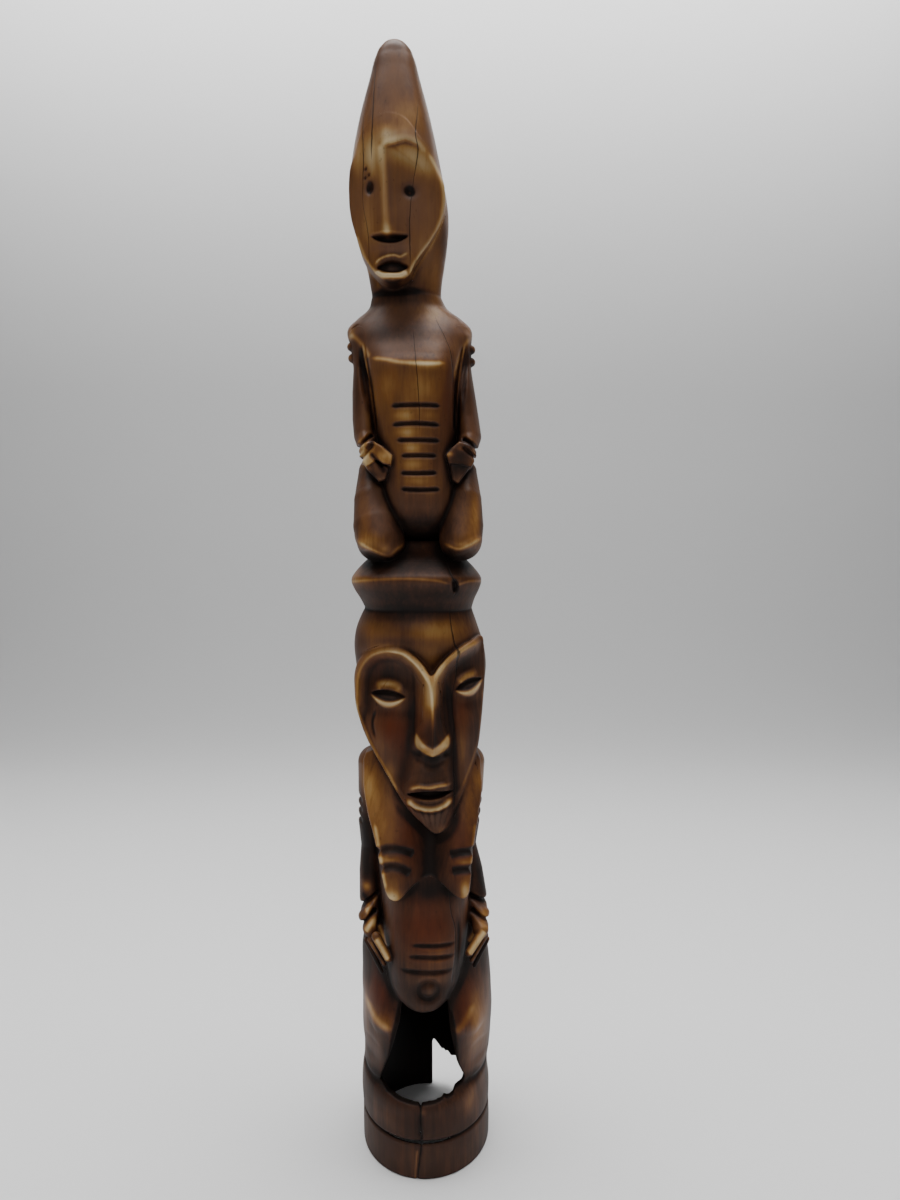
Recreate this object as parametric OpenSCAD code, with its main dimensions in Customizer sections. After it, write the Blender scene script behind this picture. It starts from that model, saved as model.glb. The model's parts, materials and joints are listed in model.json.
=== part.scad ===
// Carved ancestor column: a small figure kneels on the head of a larger standing figure,
// both cut from one hollow length of stained bone that ends in an open ring foot.
// The carving faces -Y. Left and right are the figures' own.

/* [Column] */
// Height of the whole carving
figure_h = 450; // [300:10:600]
// Half width of the ring foot
foot_half_w = 27; // [26:0.5:28]
// Half depth of the ring foot, front to back
foot_half_d = 34.5; // [33:0.5:36]

/* [Ring foot] */
// Height of the ring foot
ring_h = 31; // [29:1:33]
// Thickness of the bone wall round the hollow
wall_t = 4; // [3.5:0.25:5]
// Height of the line cut round the ring
groove_z = 15; // [12:1:18]
// Depth of that line
groove_depth = 1; // [0.6:0.1:1.5]
// Width of the piece missing from the back of the ring
gap_w = 15; // [10:1:18]
// Height of the missing piece
gap_h = 21; // [15:1:24]

/* [Carved lines] */
// Depth of the lines across the bellies
line_depth = 1.2; // [0.6:0.1:1.6]
// Width of those lines
line_w = 1.3; // [0.8:0.1:1.6]
// Number of lines on the upper belly
upper_lines = 6; // [3:1:6]
// Number of lines on the lower belly
lower_lines = 3; // [2:1:3]

/* [Collar seat] */
// Half width of the seat at its ridge
seat_half_w = 26.6; // [25:0.2:28]
// Height of the seat's ridge above the seat's foot
seat_ridge = 12; // [10:1:14]

/* [Hidden] */

nominal_h = 450;          // every dimension below is for a carving this high
size = figure_h / nominal_h;
bone = [0.50, 0.33, 0.18];
pale_bone = [0.78, 0.66, 0.46];
dark_bone = [0.34, 0.21, 0.13];
sides = 28;               // corners of a large loft's sections
limb_sides = 16;          // corners of a limb's sections
detail_sides = 12;        // corners of a small feature's sections
seat_z = 225;             // foot of the collar seat
seat_top = 245;           // top of the collar seat
hip_z = 68;               // underside of the lower belly
throat_z = 166;           // joint between the lower torso and the lower head
neck_z = 348;             // joint between the upper torso and the neck
jaw_z = 357;              // joint between the neck and the upper head
far = 200;                // larger than any part of the carving

// The column leans a little to the figures' right as it rises.
function lean(z) = 2.4 - 0.004 * z - 0.0000495 * z * z;

// A section row is [height, centre x, centre y, half width, half depth in front, half depth behind,
// squareness], and squareness 2 is an ellipse.
function spline(rows, i, t) =
    let (last = len(rows) - 1, a = rows[max(i - 1, 0)], b = rows[i],
         c = rows[i + 1], d = rows[min(i + 2, last)])
    0.5 * (2 * b + (c - a) * t + (2 * a - 5 * b + 4 * c - d) * t * t + (3 * b - a - 3 * c + d) * t * t * t);
function dense(rows, steps) = [
    for (i = [0 : len(rows) - 2]) for (j = [0 : steps - 1]) spline(rows, i, j / steps),
    rows[len(rows) - 1]
];
function power(v, p) = sign(v) * pow(abs(v), 2 / p);
function outline(row, n) = [
    for (k = [0 : n - 1])
        let (a = 360 * (k + 0.5) / n, s = power(sin(a), row[6]), c = power(cos(a), row[6]))
        [row[1] + row[3] * c, row[2] + (s < 0 ? row[4] : row[5]) * s, row[0]]
];

// A closed solid through a stack of sections, lowest first.
module loft(rows, n = sides, steps = 3) {
    stack = dense(rows, steps);
    rings = len(stack);
    points = [for (row = stack) each outline(row, n)];
    walls = [for (i = [0 : rings - 2]) for (k = [0 : n - 1])
        let (a = i * n + k, b = i * n + (k + 1) % n) each [[a, a + n, b], [b, a + n, b + n]]];
    foot = [for (k = [1 : n - 2]) [0, k, k + 1]];
    top = (rings - 1) * n;
    head = [for (k = [1 : n - 2]) [top, top + k + 1, top + k]];
    polyhedron(concat(points), concat(walls, foot, head), convexity = 6);
}

// A round bar through a list of points, with one radius for each.
module bar(points, radii, fn = 10) {
    for (i = [0 : len(points) - 2]) hull() {
        translate(points[i]) sphere(r = radii[i], $fn = fn);
        translate(points[i + 1]) sphere(r = radii[i + 1], $fn = fn);
    }
}

// Everything between two heights.
module slab(low, high) {
    translate([-far / 2, -far / 2, low]) cube([far, far, high - low]);
}

// ---- Whole forms that the nodes are cut from ----

module column_form() {
    loft([
        [-1, lean(0), 0, foot_half_w, foot_half_d, foot_half_d, 2],
        [20, lean(20), 0, foot_half_w, foot_half_d, foot_half_d, 2],
        [32, 1.8, 0, 26.4, 33.5, 34, 2],
        [47, 2.7, 0, 27.2, 33, 33.5, 2],
        [66, 2.6, 0, 27.3, 33, 33, 2],
        [84, 1.8, 0, 26.4, 33, 32.5, 2]
    ]);
}

// The hollow in the foot, from the floor up to the underside of the lower belly.
module cavity_form() {
    loft([
        [-2, lean(0), 0, foot_half_w - wall_t, foot_half_d - wall_t, foot_half_d - wall_t, 2],
        [30, lean(20), 0, foot_half_w - wall_t, foot_half_d - wall_t, foot_half_d - wall_t, 2],
        [50, 2.6, 1, 21.5, 28, 28, 2],
        [hip_z, 2.6, 2, 19, 24, 25, 2]
    ], n = 24);
}

module leg_opening() {
    hull() {
        translate([1.5, -28, ring_h]) cube([34, 40, 0.1], center = true);
        translate([2.8, -28, hip_z]) cube([17, 40, 0.1], center = true);
    }
}

module belly_form() {
    loft([
        [hip_z, 3.4, 0, 12, 26, 20, 2.2],
        [76, 3.5, 0, 17, 34, 20, 2.2],
        [88, 3.2, 0, 19, 35, 20, 2.2],
        [105, 2.4, 0, 20, 33.5, 20, 2.2],
        [125, 1.8, 0, 20.5, 29, 20, 2.2],
        [145, 1.4, 0, 22.5, 24, 20, 2.2],
        [158, 1.2, 0, 23.5, 20, 20, 2.2],
        [throat_z, 1.0, 0, 22.5, 18, 20, 2.2]
    ]);
}

module lower_back_form() {
    loft([
        [hip_z, 2.6, 6, 25.4, 12, 28.4, 2.2],
        [76, 2.4, 6, 25.8, 12, 29.7, 2.2],
        [86, 2.2, 6, 24.4, 12, 28, 2.2],
        [100, 1.9, 6, 20.8, 12, 23, 2.3],
        [122, 1.2, 6, 20.6, 12, 21.5, 2.4],
        [146, 0.6, 6, 22.4, 12, 22.5, 2.4],
        [158, 0.6, 6, 22.6, 12, 21.5, 2.3],
        [throat_z, 1.0, 6, 20.4, 12, 19.5, 2.2]
    ]);
}

module lower_torso_form() {
    belly_form();
    lower_back_form();
}

module lower_arm_form(side) {
    loft([
        [92, 1.8 + side * 20.5, -8, 4.5, 9, 8, 2],
        [100, 1.6 + side * 21.5, -5, 5, 9, 9, 2],
        [115, 1.2 + side * 21, -2, 5.2, 8, 9, 2],
        [132, 0.6 + side * 20, 0, 5.2, 8, 10, 2],
        [148, 0.8 + side * 21, 0, 5.6, 9, 11, 2],
        [160, 1.0 + side * 20.5, 0, 6.2, 9, 12, 2],
        [168, 1.0 + side * 17, 0, 6, 8, 11, 2]
    ], n = limb_sides);
}

module lower_hand_form(side) {
    bar([[2.2 + side * 23, -14, 97], [2.2 + side * 20, -22, 92], [2.6 + side * 14, -28, 83]], [4, 4.6, 3.2]);
}

module lower_leg_form(side) {
    intersection() {
        column_form();
        translate([side > 0 ? 2.8 : 2.8 - far, -far, ring_h]) cube([far, far + 4, 90 - ring_h]);
    }
}

module breast_form(side) {
    reach = side < 0 ? 11 : 12;
    loft([
        [113, 4.9 + side * (reach + 1.6), -30, 3.4, 4, 6, 2],
        [118, 4.9 + side * (reach + 0.5), -29.5, 6.6, 5.4, 8, 2],
        [128, 4.9 + side * (reach - 1.5), -27, 9.2, 6, 8, 2],
        [143, 3.8 + side * (reach + 0.5), -20, 9, 5.5, 8, 2],
        [158, 2.5 + side * (reach + 2.5), -11, 7, 4.5, 8, 2]
    ], n = limb_sides);
}

module lower_head_form() {
    loft([
        [throat_z, 1.2, 2, 21.5, 18, 25, 2.1],
        [178, 1.4, 1, 23.8, 20, 26, 2.1],
        [192, 1.3, 0, 26.4, 22, 27, 2.1],
        [203, 1.2, 0, 27.6, 24, 27.5, 2.1],
        [214, 0.6, 0, 26.4, 25, 26.5, 2.1],
        [seat_z, 0, 0, 22.4, 22, 23, 2.1]
    ]);
}

module lower_face_form() {
    loft([
        [145, 4.2, -22, 8, 5, 8, 2],
        [152, 4.0, -21, 12.5, 7.5, 10, 2.2],
        [164, 3.0, -19, 18.4, 9.5, 12, 2.3],
        [178, 1.4, -17.5, 23.6, 11, 12, 2.3],
        [192, 0.8, -15, 26.6, 12.5, 12, 2.3],
        [203, 0.8, -14, 26.4, 14.5, 12, 2.3],
        [211, 0.8, -14, 22, 13.6, 10, 2.3]
    ]);
}

module beard_form() {
    loft([
        [138.7, 7.6, -31, 2, 2, 4, 2],
        [143, 6.2, -29, 6, 4, 7, 2],
        [148, 5.0, -27, 9, 5, 9, 2],
        [151, 4.6, -26.5, 9.6, 4.6, 9, 2]
    ], n = limb_sides);
}

module seat_form() {
    rise = seat_top - seat_z;
    loft([
        [seat_z, lean(seat_z), 0, 22.4, 23, 23, 2.3],
        [seat_z + seat_ridge - 1, lean(seat_z), 0, seat_half_w, 27.2, 26.5, 2.3],
        [seat_z + seat_ridge + 1, lean(seat_z), 0, seat_half_w, 27.2, 26.5, 2.3],
        [seat_z + rise, lean(seat_z), 0, 21, 21.5, 21.5, 2.3]
    ], steps = 1);
}

module upper_torso_form() {
    loft([
        [seat_top, -1.2, 2, 10, 8, 14, 2.3],
        [253, -1.0, 0, 14, 17, 17, 2.4],
        [268, -0.5, 0, 16, 23, 18, 2.6],
        [285, -0.8, 0, 15.4, 24, 18, 2.6],
        [304, -1.4, 0, 16.4, 25.5, 18, 2.6],
        [319, -2.8, 0, 18.6, 27.5, 19, 2.5],
        [331, -4.0, 0, 22.6, 23, 20, 2.4],
        [340, -4.2, 0, 24.6, 17, 19, 2.3],
        [345, -4.6, 0, 19, 13, 16, 2.2],
        [neck_z, -5.0, 0, 14.2, 12, 14, 2.1]
    ]);
}

module upper_arm_form(side) {
    loft([
        [287, -0.6 + side * 20.5, -6, 4.5, 8, 8, 2],
        [296, -0.6 + side * 20.8, -4, 5, 9, 9, 2],
        [309, -2.6 + side * 20, -1, 5, 7.5, 9, 2],
        [322, -3.4 + side * 19.6, 0, 4.6, 7.5, 9, 2],
        [333, -4.2 + side * 20.6, 0, 5.2, 8, 10, 2],
        [340, -4.2 + side * 19, 0, 5.4, 7, 9, 2]
    ], n = limb_sides);
}

module upper_hand_form(side) {
    bar([[-0.4 + side * 21, -14, 290], [-0.2 + side * 17, -22, 286], [0.2 + side * 11.5, -26.5, 282]],
        [4, 4.8, 4]);
}

module upper_leg_form(side) {
    loft([
        [seat_top, -0.9 + side * 13.2, -13, 5.5, 10, 16, 2.2],
        [250, -0.9 + side * 15.5, -11, 9.4, 17, 24, 2.2],
        [257, -0.9 + side * 15.9, -9, 10.8, 18, 27, 2.2],
        [268, -0.6 + side * 17, -7, 9.2, 17, 24, 2.2],
        [279, -0.8 + side * 18.4, -5, 6.8, 14, 18, 2.2],
        [286, -0.9 + side * 18.8, -3, 4.4, 10, 12, 2.2]
    ], n = limb_sides);
}

module upper_neck_form() {
    loft([
        [neck_z, -5.0, 0, 14.2, 12, 14, 2.1],
        [352, -5.3, 0, 14, 12, 14, 2.1],
        [jaw_z, -5.6, 0, 14.4, 12.5, 14.5, 2.1]
    ], steps = 2);
}

module upper_head_form() {
    loft([
        [jaw_z, -5.6, 0, 14.4, 12.5, 14.5, 2.1],
        [368, -5.9, 0, 16.2, 13.5, 16, 2.2],
        [380, -6.8, 0, 19, 14.5, 17.5, 2.2],
        [390, -8.2, 0, 19.6, 15.5, 18, 2.3],
        [404, -9, 0, 18, 17, 17, 2.3],
        [420, -9.2, 0, 14.2, 13.5, 14, 2.3],
        [434, -9.2, 0, 10.9, 10, 11, 2.2],
        [444, -9.3, 0, 7.6, 7, 7.6, 2.1],
        [nominal_h, -9.4, 0, 2.4, 2.4, 2.4, 2]
    ]);
}

module upper_face_form() {
    loft([
        [354, -9.2, -14, 5, 5, 6, 2],
        [360, -9.4, -14, 9, 7.5, 9, 2.2],
        [370, -9.6, -13, 13, 9.5, 9, 2.2],
        [384, -8.8, -11, 17.2, 10.5, 9, 2.3],
        [396, -8.6, -11, 17.4, 11, 9, 2.3],
        [406, -8.4, -12, 13, 9.5, 9, 2.3],
        [411, -8.4, -12, 9, 5, 9, 2.3]
    ], n = 20);
}

// ---- Nodes, from the foot up ----

module base_ring() color(bone) difference() {
    intersection() {
        column_form();
        slab(0, ring_h);
    }
    cavity_form();
    difference() {
        slab(groove_z - 0.6, groove_z + 0.6);
        loft([
            for (z = [groove_z - 2, groove_z + 2])
                [z, lean(z), 0, foot_half_w - groove_depth, foot_half_d - groove_depth,
                 foot_half_d - groove_depth, 2]
        ], steps = 1);
    }
    translate([4.5, 10, -1]) cube([gap_w, 40, gap_h + 1]);
}

module cavity_wall() color(dark_bone) difference() {
    intersection() {
        column_form();
        translate([-far / 2, 4, ring_h]) cube([far, far, hip_z - ring_h]);
    }
    cavity_form();
}

module lower_leg(side) color(bone) difference() {
    lower_leg_form(side);
    cavity_form();
    leg_opening();
    lower_torso_form();
    translate([-far / 2, 4, hip_z - far]) cube([far, far, far]);
    lower_arm_form(side);
    lower_hand_form(side);
}

module lower_torso() color(bone) difference() {
    lower_torso_form();
    for (i = [0 : lower_lines - 1])
        translate([4.2, -38, 95 - 4.8 * i]) rotate([-90, 0, 0])
            linear_extrude(3.4 + line_depth) square([18 + i, line_w], center = true);
    translate([4, -36, 76.5]) rotate([-90, 0, 0]) cylinder(r = 4.8, h = 3.2, $fn = 32);
}

module navel() color(dark_bone)
    translate([4, -35.4, 76.5]) rotate([-90, 0, 0]) cylinder(r = 2.8, h = 2.6, $fn = 32);

module breast(side) color(pale_bone) difference() {
    breast_form(side);
    lower_torso_form();
    lower_arm_form(side);
    lower_face_form();
    beard_form();
    translate([side > 0 ? 4.9 - far : 4.9, -far, 0]) cube([far, far * 2, far]);
    for (z = [130.5, 124.2])
        translate([4.9 + side * 12, -34.6, z]) cube([26, 4, 1.8], center = true);
}

module lower_arm(side) color(bone) difference() {
    lower_arm_form(side);
    lower_torso_form();
    lower_head_form();
    lower_face_form();
}

module lower_hand(side) color(pale_bone) difference() {
    lower_hand_form(side);
    lower_torso_form();
    lower_arm_form(side);
}

module lower_head() color(bone) lower_head_form();

module lower_face() color(bone) difference() {
    lower_face_form();
    lower_head_form();
    lower_torso_form();
    beard_form();
    lower_lip_form();
    lower_nose_form();
    for (side = [-1, 1]) eye_form(side);
}

module brow_ridges() color(pale_bone) difference() {
    for (side = [-1, 1]) brow_form(side);
    lower_face_form();
    lower_head_form();
    lower_nose_form();
}

module brow_form(side) {
    reach = side < 0 ? 31 : 21;
    bar([for (t = [0 : 0.2 : 1])
        let (drop = side < 0 ? 10 * t * t : 0)
        [5.3 + side * reach * t, -28.4 + 13.5 * t * t * t, 201 + 11 * sin(150 * pow(t, 0.75)) - drop]],
        [1.6, 1.9, 2, 1.9, 1.7, 1.2], fn = 8);
}

module lower_nose_form() {
    loft([
        [169, 6.0, -29, 4, 4, 5, 2],
        [172.5, 6.0, -29, 6, 7, 6, 2],
        [177, 5.8, -28.5, 3, 6, 6, 2],
        [190, 5.5, -28, 1.8, 4, 6, 2],
        [201, 5.3, -28, 1.6, 2.2, 5, 2]
    ], n = detail_sides);
}

module lower_nose() color(pale_bone) difference() {
    lower_nose_form();
    lower_head_form();
}

module eye_form(side) {
    at = side < 0 ? [-11.7, -25.4, 191.4] : [19, -20.6, 194.4];
    translate(at) rotate([0, 0, side < 0 ? -10 : 32]) loft([
        [-3.6, 0, 0, 3, 1, 5, 2],
        [-2, 0, 0, 5.4, 2.6, 5, 2],
        [0, 0, 0, 7, 3.2, 5, 2],
        [2, 0, 0, 5.4, 2.8, 5, 2],
        [3.8, 0, 0, 3, 1.4, 5, 2]
    ], n = detail_sides, steps = 2);
}

module eyelids(side) color(pale_bone) difference() {
    eye_form(side);
    lower_head_form();
    translate(side < 0 ? [-11.7, -29, 191.4] : [20.6, -24, 194.4]) rotate([0, 0, side < 0 ? -10 : 32])
        scale([9, 4, 1]) sphere(d = 1.2, $fn = 16);
}

module lower_lip_form() {
    loft([
        [149, 5.0, -27.4, 7, 4.2, 7, 2],
        [152, 5.0, -27, 9, 5.4, 8, 2],
        [155.5, 5.0, -27, 9.4, 4, 8, 2],
        [158.6, 5.2, -27, 8.4, 5, 8, 2],
        [161, 5.2, -27, 5, 4, 8, 2]
    ], n = limb_sides);
}

module lower_lips() color(pale_bone) difference() {
    lower_lip_form();
    lower_head_form();
    lower_torso_form();
    beard_form();
    translate([5, -32, 155]) scale([7.5, 3, 1]) sphere(d = 2.4, $fn = 16);
}

module beard() color(dark_bone) difference() {
    beard_form();
    lower_torso_form();
    lower_head_form();
}

module collar_seat() color(bone) seat_form();

module upper_leg(side) color(bone) difference() {
    upper_leg_form(side);
    upper_torso_form();
    slab(0, seat_top);
    translate([side > 0 ? -0.9 - far : -0.9, -far, 0]) cube([far, far * 2, far * 2]);
}

module upper_torso() color(bone) difference() {
    upper_torso_form();
    for (i = [0 : upper_lines - 1])
        translate([-0.6, -28, 305 - 6.45 * i]) rotate([-90, 0, 0])
            linear_extrude(2.6 + 0.3 * i + line_depth) square([19 - i, line_w], center = true);
}

module upper_arm(side) color(bone) difference() {
    upper_arm_form(side);
    upper_torso_form();
    upper_leg_form(side);
}

module studs(side) color(pale_bone) difference() {
    for (z = [325.4, 330.8])
        translate([-3.4 + side * 23.6, -3, z]) sphere(r = 2.6, $fn = 24);
    upper_arm_form(side);
    upper_torso_form();
}

module upper_hand(side) color(pale_bone) difference() {
    upper_hand_form(side);
    upper_torso_form();
    upper_arm_form(side);
    upper_leg_form(side);
}

module upper_neck() color(dark_bone) upper_neck_form();

module upper_head() color(bone) upper_head_form();

module upper_face() color(bone) difference() {
    upper_face_form();
    upper_head_form();
    upper_neck_form();
    upper_lip_form();
    for (x = [-18.2, -2.9])
        translate([x, -26, 389.5]) rotate([-90, 0, 0]) cylinder(r = 1.8, h = 9, $fn = 24);
}

module upper_lip_form() {
    loft([
        [353, -9.2, -15, 4, 4.4, 6, 2],
        [356, -9.2, -15, 6.6, 6.4, 7, 2],
        [359.5, -9.4, -15, 7.4, 5, 7, 2],
        [363, -9.6, -15, 7.8, 7, 7, 2],
        [366, -9.8, -15, 7, 6, 7, 2]
    ], n = limb_sides);
}

module upper_lips() color(pale_bone) difference() {
    upper_lip_form();
    upper_head_form();
    upper_neck_form();
    translate([-9.4, -21, 359.5]) scale([6.5, 3, 1]) sphere(d = 2, $fn = 16);
}

scale(size) base_ring();
scale(size) cavity_wall();
scale(size) lower_leg(-1);  // lower_right_leg
scale(size) lower_leg(1);  // lower_left_leg
scale(size) lower_torso();
scale(size) navel();
scale(size) breast(-1);  // lower_right_breast
scale(size) breast(1);  // lower_left_breast
scale(size) lower_arm(-1);  // lower_right_arm
scale(size) lower_arm(1);  // lower_left_arm
scale(size) lower_hand(-1);  // lower_right_hand
scale(size) lower_hand(1);  // lower_left_hand
scale(size) lower_head();
scale(size) lower_face();
scale(size) brow_ridges();
scale(size) lower_nose();
scale(size) eyelids(-1);  // right_eyelids
scale(size) eyelids(1);  // left_eyelids
scale(size) lower_lips();
scale(size) beard();
scale(size) collar_seat();
scale(size) upper_leg(-1);  // upper_right_leg
scale(size) upper_leg(1);  // upper_left_leg
scale(size) upper_torso();
scale(size) upper_arm(-1);  // upper_right_arm
scale(size) upper_arm(1);  // upper_left_arm
scale(size) studs(-1);  // upper_right_studs
scale(size) studs(1);  // upper_left_studs
scale(size) upper_hand(-1);  // upper_right_hand
scale(size) upper_hand(1);  // upper_left_hand
scale(size) upper_neck();
scale(size) upper_head();
scale(size) upper_face();
scale(size) upper_lips();
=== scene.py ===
"""A carved ancestor column in stained bone: a small figure kneels on the head of a larger one.

The bone is sculpted as a distance field on a grid, then skinned as one closed piece for each CAD node.
Sculpting is in millimetres in the row's frame, and finished meshes are in metres.
The carving faces -Y. Right and left are the figures' own, so the right side has negative X.
"""

import json
import math

import bpy
import numpy as np
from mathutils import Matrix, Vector


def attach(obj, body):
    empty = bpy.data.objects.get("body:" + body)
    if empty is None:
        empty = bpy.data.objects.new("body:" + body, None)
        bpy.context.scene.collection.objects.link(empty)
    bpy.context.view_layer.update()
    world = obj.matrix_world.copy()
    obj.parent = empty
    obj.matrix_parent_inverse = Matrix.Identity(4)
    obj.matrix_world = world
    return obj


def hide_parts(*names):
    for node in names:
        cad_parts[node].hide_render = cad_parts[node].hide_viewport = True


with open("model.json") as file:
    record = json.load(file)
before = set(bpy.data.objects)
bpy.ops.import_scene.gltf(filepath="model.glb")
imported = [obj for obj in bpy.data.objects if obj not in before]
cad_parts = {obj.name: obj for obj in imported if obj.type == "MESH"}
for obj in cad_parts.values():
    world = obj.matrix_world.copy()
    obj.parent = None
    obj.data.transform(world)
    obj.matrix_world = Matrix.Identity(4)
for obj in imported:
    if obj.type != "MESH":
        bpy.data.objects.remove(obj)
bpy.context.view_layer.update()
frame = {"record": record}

MM = 0.001
PITCH = 0.5      # distance between the field's samples
FAR = 30.0                              # the field's value where there is no bone
MARGIN = 6.0                            # how far round a form the field is kept true
RIGHT, LEFT = -1, 1


# ---- Curves and masks -------------------------------------------------------------------------

def smooth_path(points, steps=6):
    """A Catmull-Rom curve through the points, as an array with steps samples per span."""
    points = np.array(points, float)
    padded = np.vstack([2 * points[0] - points[1], points, 2 * points[-1] - points[-2]])
    t = np.linspace(0, 1, steps, endpoint=False)[:, None]
    spans = []
    for a, b, c, d in zip(padded, padded[1:], padded[2:], padded[3:]):
        bend = (2 * a - 5 * b + 4 * c - d) * t ** 2
        twist = (3 * b - a - 3 * c + d) * t ** 3
        spans.append(0.5 * (2 * b + (c - a) * t + bend + twist))
    return np.vstack(spans + [points[-1:]])


def smoothstep(low, high, value):
    t = np.clip((value - low) / (high - low), 0, 1)
    return t * t * (3 - 2 * t)


def table(rows, at):
    """Reads every column of rows at the heights at, through a smooth curve. Column one is the height."""
    rows = np.array(rows, float)
    heights, values = rows[:, 0], rows[:, 1:]
    slopes = np.gradient(values, heights, axis=0)
    i = np.clip(np.searchsorted(heights, at) - 1, 0, len(heights) - 2)
    span = heights[i + 1] - heights[i]
    t = np.clip((at - heights[i]) / span, 0, 1)[..., None]
    span = span[..., None]
    start = (1 + 2 * t) * (1 - t) ** 2 * values[i] + t * (1 - t) ** 2 * span * slopes[i]
    end = t * t * (3 - 2 * t) * values[i + 1] + t * t * (t - 1) * span * slopes[i + 1]
    return start + end


def curve(rows, at):
    """The one value of rows of (height, value) at the heights at."""
    return table(rows, at)[..., 0]


def along(path, x, z):
    """Distance from each (x, z) to a path, and how far along it the nearest point lies, from 0 to 1."""
    lengths = np.concatenate([[0], np.cumsum(np.hypot(*np.diff(path[:, :2], axis=0).T))])
    nearest = np.full(np.broadcast(x, z).shape, 1e6)
    place = np.zeros_like(nearest)
    for a, b, start, end in zip(path, path[1:], lengths, lengths[1:]):
        dx, dz = b[0] - a[0], b[1] - a[1]
        t = np.clip(((x - a[0]) * dx + (z - a[1]) * dz) / (dx * dx + dz * dz + 1e-9), 0, 1)
        distance = np.hypot(x - a[0] - t * dx, z - a[1] - t * dz)
        closer = distance < nearest
        nearest = np.where(closer, distance, nearest)
        place = np.where(closer, (start + t * (end - start)) / lengths[-1], place)
    return nearest, place


def line(points, width, taper=0.25, sharp=False):
    """A mask that is 1 on a curve in the front view and 0 at width from it, thinning at both ends."""
    path = smooth_path(points)

    def mask(x, z):
        distance, place = along(path, x, z)
        ends = 1.0 if taper <= 0 else smoothstep(0, taper, np.minimum(place, 1 - place) + 0.02)
        rise = np.clip(1 - distance / (width * (0.35 + 0.65 * ends)), 0, 1)
        return (rise if sharp else rise * rise * (3 - 2 * rise)) * ends
    return mask


def spot(at, radii, turn=0.0):
    """A soft mask round a point in the front view."""
    c, s = math.cos(math.radians(turn)), math.sin(math.radians(turn))

    def mask(x, z):
        u = ((x - at[0]) * c + (z - at[1]) * s) / radii[0]
        v = ((z - at[1]) * c - (x - at[0]) * s) / radii[1]
        return np.exp(-(u * u + v * v))
    return mask


def outline(points, steps=4):
    """Signed distance in the front view to a closed shape: negative inside."""
    loop = np.array(points, float)
    if steps > 1:
        wrapped = smooth_path(np.vstack([loop[-1:], loop, loop[:2]]), steps)
        loop = wrapped[steps:-steps - 1]
    closed = np.vstack([loop, loop[:1]])

    def distance(x, z):
        nearest, _ = along(closed, x, z)
        inside = np.zeros(nearest.shape, bool)
        for a, b in zip(closed, closed[1:]):
            crosses = (a[1] > z) != (b[1] > z)
            reach = (b[0] - a[0]) * (z - a[1]) / (b[1] - a[1] + 1e-12) + a[0]
            inside ^= crosses & (x < reach)
        return np.where(inside, -nearest, nearest)
    return distance


# ---- Solid forms: each is (distance function, low corner, high corner) ------------------------

def limb(points, radii, deep=1.0):
    """Round cones through a chain of points; deep stretches them front to back."""
    points, radii = np.array(points, float), np.array(radii, float)
    reach = radii.max() * max(deep, 1) + MARGIN
    squash = np.array([1, 1 / deep, 1])

    def distance(x, y, z):
        best = None
        for a, b, ra, rb in zip(points, points[1:], radii, radii[1:]):
            step = (b - a) * squash
            px, py, pz = x - a[0], (y - a[1]) / deep, z - a[2]
            t = np.clip((px * step[0] + py * step[1] + pz * step[2]) / (step @ step), 0, 1)
            far = np.sqrt((px - t * step[0]) ** 2 + (py - t * step[1]) ** 2 + (pz - t * step[2]) ** 2)
            span = far - (ra + (rb - ra) * t)
            best = span if best is None else np.minimum(best, span)
        return best
    return distance, points.min(0) - reach, points.max(0) + reach


def egg(at, radii):
    """An ellipsoid about at, with its three half widths."""
    at, radii = np.array(at, float), np.array(radii, float)
    reach = radii.max() + MARGIN

    def distance(x, y, z):
        px, py, pz = x - at[0], y - at[1], z - at[2]
        near = np.sqrt((px / radii[0]) ** 2 + (py / radii[1]) ** 2 + (pz / radii[2]) ** 2)
        steep = np.sqrt((px / radii[0] ** 2) ** 2 + (py / radii[1] ** 2) ** 2 + (pz / radii[2] ** 2) ** 2)
        return near * (near - 1) / np.maximum(steep, 1e-6)
    return distance, at - reach, at + reach


def loft(rows, tilt=0.0):
    """A body of oval sections. A row is height, centre x, centre y, half width, depth in front,
    depth behind, squareness. tilt lifts the front by that much per millimetre."""
    rows = np.array(rows, float)
    wide = rows[:, 3:6].max() + MARGIN
    low = [rows[:, 1].min() - wide, rows[:, 2].min() - wide, rows[0, 0] - MARGIN]
    high = [rows[:, 1].max() + wide, rows[:, 2].max() + wide, rows[-1, 0] + MARGIN]

    def distance(x, y, z):
        level = z + y * tilt
        if tilt:
            fine = np.linspace(rows[0, 0], rows[-1, 0], 400)
            dense = table(rows, fine)
            got = [np.interp(level, fine, dense[:, i]) for i in range(6)]
        else:
            dense = table(rows, level.ravel())
            got = [dense[:, i].reshape(level.shape) for i in range(6)]
        cx, cy, half, front, back, square = [part.astype(np.float32) for part in got]
        px, py = x - cx, y - cy
        depth = np.where(py < 0, front, back)
        ratio = (np.abs(px / half) ** square + np.abs(py / depth) ** square) ** (1 / square)
        side = np.hypot(px, py) * (1 - 1 / np.maximum(ratio, 1e-3))
        side = np.where(ratio < 1e-2, -np.minimum(half, depth), side)
        ends = np.maximum(rows[0, 0] - level, level - rows[-1, 0])
        return soft_max(side, ends, 1.0)
    return distance, low, high


def slab(low_z, high_z):
    """Everything between two heights."""
    def distance(x, y, z):
        return np.maximum(low_z - z, z - high_z) + 0 * x + 0 * y
    return distance, [-60, -60, low_z - MARGIN], [60, 60, high_z + MARGIN]


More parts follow.
